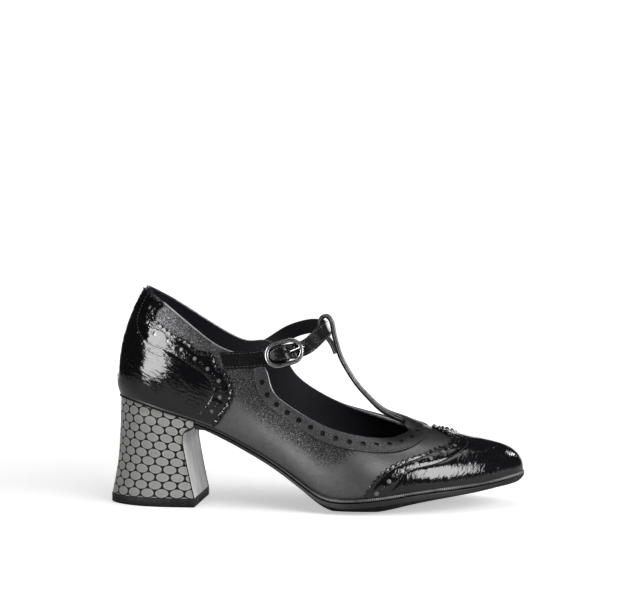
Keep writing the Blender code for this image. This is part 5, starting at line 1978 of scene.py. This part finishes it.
@dataclass
class Sole:
    """Outsole with a rolled edge and the ribbed midsole above it."""

    wardrobe: Wardrobe
    start: float = 48.6
    gap: float = 0.3
    midsole: float = 1.6
    rib_round: float = 0.62
    groove: float = 1.0
    edge_round: float = 0.45
    step: float = 0.9
    roll_reach: float = 15.0
    roll_half_width: float = 20.0
    outline_steps: int = 1600
    toe_crowding: float = 1.6    # power by which the cross-sections crowd towards the toe
    rib_depth: float = 0.55      # of the rib's round, as a share of its height
    rib_steps: int = 9
    edge_from: float = 0.3       # angle where the edge's round begins
    edge_steps: int = 4
    roll_steps: int = 12

    def __post_init__(self) -> None:
        """Place the cross-sections, closer together at the toe, and read the tables."""
        self.margin = self._table(SOLE_MARGIN)
        end = LAST.length + float(self.margin(LAST.length)) - self.gap
        run = np.linspace(0.0, 1.0, int((end - self.start) / self.step))
        self.places = self.start + (end - self.start) * (1.0 - (1.0 - run) ** self.toe_crowding)
        self.low, self.high = self._edges()

    @staticmethod
    def _table(table: Sequence[Pair]) -> Callable[[Array], Array]:
        """Straight runs through a table of percent of the last's length against millimetres."""
        rows = np.array(table)
        return lambda along: np.interp(along, rows[:, 0] * LAST.length / 100.0, rows[:, 1])

    def _edges(self) -> list[Array]:
        """Outer and inner edge of the sole at each cross-section."""
        toe = LAST.knots[TOE_STATION]
        sides = []
        for low, high in ((0.0, toe), (toe, 1.0)):
            plan, out = LAST.foot_plan(np.linspace(low, high, self.outline_steps))
            edge = plan + out * self.margin(plan[:, 0])[:, None]
            edge = edge[np.argsort(edge[:, 0])]
            sides.append(np.interp(self.places, edge[:, 0], edge[:, 1]))
        return sides

    def _loft(self, half: Sequence[tuple[Array, Array, Array]], under: int) -> Sheet:
        """Solid through the cross-sections.

        Args:
            half: for each point of half a section, from the top down, its inset, its height against the foot
                line, and how much of that height counts against the tread instead.
            under: number of those points past which the face belongs to the underside.

        Returns:
            The closed sheet.
        """
        tread = np.array(TREAD_HEIGHT)
        bottom = Spline(tread[:, 0] * LAST.length / 100.0, tread[:, 1:])(self.places)[:, 0].clip(0.0)
        columns = []
        sides = ((self.low, 1.0, half), (self.high, -1.0, tuple(reversed(half))))
        for edge, sign, points in sides:
            for inset, lift, share in points:
                y = edge + sign * inset
                z = (1.0 - share) * (LAST.foot_height(self.places, y) + lift) + share * bottom
                columns.append(np.column_stack([self.places, y, z]))
        ring = np.stack(columns + columns[:1], axis=1)
        flat = np.stack(np.broadcast_arrays(np.arange(ring.shape[1]), LAST.length - ring[..., 0]), axis=-1)
        sheet = Sheet(ring, flat=flat)
        below = np.zeros(ring.shape[:2], bool)
        below[:, under:2 * len(half) - under] = True
        for face in sheet.faces_where(below):
            face.material_index = 1
        sheet.close().seal()
        return sheet

    def build(self) -> None:
        """Make midsole and outsole."""
        count = len(self.places)
        narrow = np.minimum(1.0, (self.high - self.low) / 2 / self.roll_half_width)
        none = np.zeros(count)
        middle = -self.gap / 2 - self.midsole / 2
        bead = [(self.rib_round * (1.0 - math.cos(a)) * self.rib_depth * narrow,
                 np.full(count, middle + self.rib_round * math.sin(a)), none)
                for a in np.linspace(math.pi / 2, -math.pi / 2, self.rib_steps)]
        bead.insert(0, (self.groove * narrow, np.full(count, middle + self.midsole / 2), none))
        bead.append((self.groove * narrow, np.full(count, middle - self.midsole / 2), none))
        rib = self._loft(bead, len(bead))
        add_piece("midsole_rib", rib.mesh, [self.wardrobe["sole_rib"]], ["midsole"])
        thick = self._table(SOLE_EDGE)(self.places)
        top = -2 * self.gap - self.midsole
        half = [(self.edge_round * narrow, np.full(count, top), none)]
        half += [(self.edge_round * (1.0 - math.sin(a)) * narrow,
                  np.full(count, top - self.edge_round * (1.0 - math.cos(a))), none)
                 for a in np.linspace(self.edge_from, math.pi / 2, self.edge_steps)]
        under = len(half)
        for share in np.linspace(0.0, 1.0, self.roll_steps):
            inset = self.roll_reach * share * narrow
            half.append((inset, top - thick, np.full(count, 1.0 - (1.0 - share) ** 2)))
        outsole = self._loft(half, under)
        # Underside faces take the darker, duller black: painted shade under the sole.
        dress = [self.wardrobe["sole_black"], self.wardrobe["sole_black_and_underside_shade"]]
        add_piece("outsole_black", outsole.mesh, dress, ["outsole"])


@dataclass
class Insole:
    """Sock inside the shoe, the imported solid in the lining's finish."""

    wardrobe: Wardrobe

    def dress(self) -> None:
        """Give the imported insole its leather."""
        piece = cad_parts["insole"]
        piece.data.materials.clear()
        piece.data.materials.append(self.wardrobe["navy_lining"])
        LOG.info("insole: dressed")


class Reach(Enum):
    """Faces that a light panel works on."""

    GLOSSY = "glossy"
    MATT = "matt"
    ALL = "all"


@dataclass(frozen=True)
class Softbox:
    """Soft light panel seen from the shoe."""

    name: str
    azimuth: float
    elevation: float
    distance: float
    width: float
    height: float
    radiance: float
    reach: Reach = Reach.GLOSSY

    def hang(self, aim: Vector) -> None:
        """Put the panel up, facing the point aim."""
        turn, rise = math.radians(self.azimuth), math.radians(self.elevation)
        away = Vector((math.sin(turn) * math.cos(rise), -math.cos(turn) * math.cos(rise), math.sin(rise)))
        light = bpy.data.lights.new(self.name, "AREA")
        light.shape = "RECTANGLE"
        light.size = self.width
        light.size_y = self.height
        light.energy = self.radiance * math.pi * self.width * self.height
        panel = bpy.data.objects.new(self.name, light)
        panel.location = aim + away * self.distance
        panel.rotation_euler = (-away).to_track_quat("-Z", "Y").to_euler()
        panel.visible_diffuse = self.reach is not Reach.GLOSSY
        panel.visible_glossy = self.reach is not Reach.MATT
        bpy.context.scene.collection.objects.link(panel)
        LOG.info("%s: hung", self.name)


@dataclass
class Studio:
    """Pale floor and soft light, seen from the camera of the photograph."""

    floor_from: Pair = (-1.3, -0.42)
    floor_to: Pair = (1.3, 1.3)
    sky: float = 0.25
    sky_seen: float = 1.12
    sky_in_gloss: float = 0.03
    paper: float = 0.92
    paper_in_gloss: float = 0.80
    paper_roughness: float = 0.9
    paper_specular: float = 0.1
    paper_glow: float = 0.45     # painted light on the paper, seen by the camera only, that fills the shadows
    far_glow: float = 0.75       # painted light of the paper far behind the shoe
    glow_rise: Pair = (0.12, 0.6)
    aim: Triple = (0.0, -0.02, 0.07)
    panels: tuple[Softbox, ...] = (
        Softbox("left_panel", -46.0, 18.0, 1.2, 0.62, 0.88, 13.0),
        Softbox("vamp_panel", 84.0, 68.0, 1.2, 0.5, 0.5, 2.4),
        Softbox("right_panel", 46.0, 22.0, 1.2, 0.68, 0.55, 12.5),
        Softbox("back_panel", 114.0, 29.0, 1.2, 0.30, 0.14, 24.0),
        Softbox("left_back_panel", -142.0, 8.0, 1.3, 0.6, 0.5, 3.0),
        Softbox("backdrop", 180.0, 5.0, 1.3, 2.6, 0.45, 2.0),
        Softbox("top_panel", 20.0, 82.0, 1.4, 0.9, 0.9, 1.5, Reach.ALL),
        Softbox("front_fill", 56.0, 25.0, 1.3, 1.3, 0.9, 4.4, Reach.MATT),
    )

    def build(self) -> None:
        """Set up camera, floor, sky and panels."""
        CAMERA.place()
        self._build_floor()
        self._build_sky()
        for panel in self.panels:
            panel.hang(Vector(self.aim))
        bpy.context.scene.view_settings.view_transform = "Standard"

    def _build_floor(self) -> None:
        """Pale floor under the shoe, with painted light for the camera that lightens its shadows, more of it further
        behind.
        """
        mesh = bmesh.new()
        low, high = np.array(self.floor_from), np.array(self.floor_to)
        grid = bmesh.ops.create_grid(mesh, x_segments=2, y_segments=2, size=0.5)["verts"]
        bmesh.ops.scale(mesh, verts=grid, vec=(*(high - low), 1.0))
        bmesh.ops.translate(mesh, verts=grid, vec=(*((low + high) / 2), 0.0))
        data = bpy.data.meshes.new("studio_floor")
        mesh.to_mesh(data)
        mesh.free()
        paper = bpy.data.materials.new("paper_white")
        paper.use_nodes = True
        shader = paper.node_tree.nodes["Principled BSDF"]
        board = Board(paper.node_tree)
        seen = board.add("ShaderNodeLightPath").outputs
        colour = board.blend(seen["Is Glossy Ray"], (self.paper,) * 3, (self.paper_in_gloss,) * 3)
        place = board.add("ShaderNodeTexCoord").outputs["Object"]
        behind = board.add("ShaderNodeSeparateXYZ", {0: place}).outputs[1]
        bright = board.stretch(behind, *self.glow_rise, self.paper_glow, self.far_glow)
        glow = board.blend(board.math("MULTIPLY", seen["Is Camera Ray"], bright), (0.0,) * 3, (1.0,) * 3)
        board.join(colour, shader.inputs["Base Color"])
        board.join(glow, shader.inputs["Emission Color"])
        shader.inputs["Emission Strength"].default_value = 1.0
        shader.inputs["Roughness"].default_value = self.paper_roughness
        shader.inputs["Specular IOR Level"].default_value = self.paper_specular
        data.materials.append(paper)
        floor = bpy.data.objects.new("studio_floor", data)
        bpy.context.scene.collection.objects.link(floor)
        LOG.info("studio_floor: laid")

    def _build_sky(self) -> None:
        """White surroundings that glossy faces see as a dark studio."""
        world = bpy.data.worlds.new("studio")
        world.use_nodes = True
        bpy.context.scene.world = world
        board = Board(world.node_tree)
        sky = world.node_tree.nodes["Background"]
        path = board.add("ShaderNodeLightPath").outputs
        lighting = board.stretch(path["Is Glossy Ray"], 0.0, 1.0, self.sky, self.sky_in_gloss)
        shown = board.math("MULTIPLY", path["Is Camera Ray"], self.sky_seen)
        strength = board.math("MAXIMUM", lighting, shown)
        sky.inputs["Color"].default_value = (1.0, 1.0, 1.0, 1.0)
        board.join(strength, sky.inputs["Strength"])
        LOG.info("studio: lit")


def main() -> None:
    """Build the shoe piece by piece, then the studio."""
    wardrobe = Wardrobe()
    dark_thread = Stitching("stitches_on_leather", wardrobe["black_thread"], Slot.LEATHER)
    pale_thread = Stitching("stitches_on_patent", wardrobe["grey_thread"], Slot.PATENT,
                            pitch=1.9, length=1.45, width=0.46)
    t_bar = TBar()
    facing = Facing(wardrobe, t_bar)
    Upper(wardrobe, t_bar, facing).build(dark_thread)
    facing.build(dark_thread)
    ToeWing(wardrobe).build(pale_thread)
    Counter(wardrobe).build(pale_thread)
    Strap(wardrobe).build(pale_thread)
    BuckleTab(wardrobe).build(pale_thread)
    Buckle(wardrobe).build()
    Heel(wardrobe).build()
    Sole(wardrobe).build()
    Insole(wardrobe).dress()
    dark_thread.finish()
    pale_thread.finish()
    Studio().build()


if __name__ == "__main__":
    main()
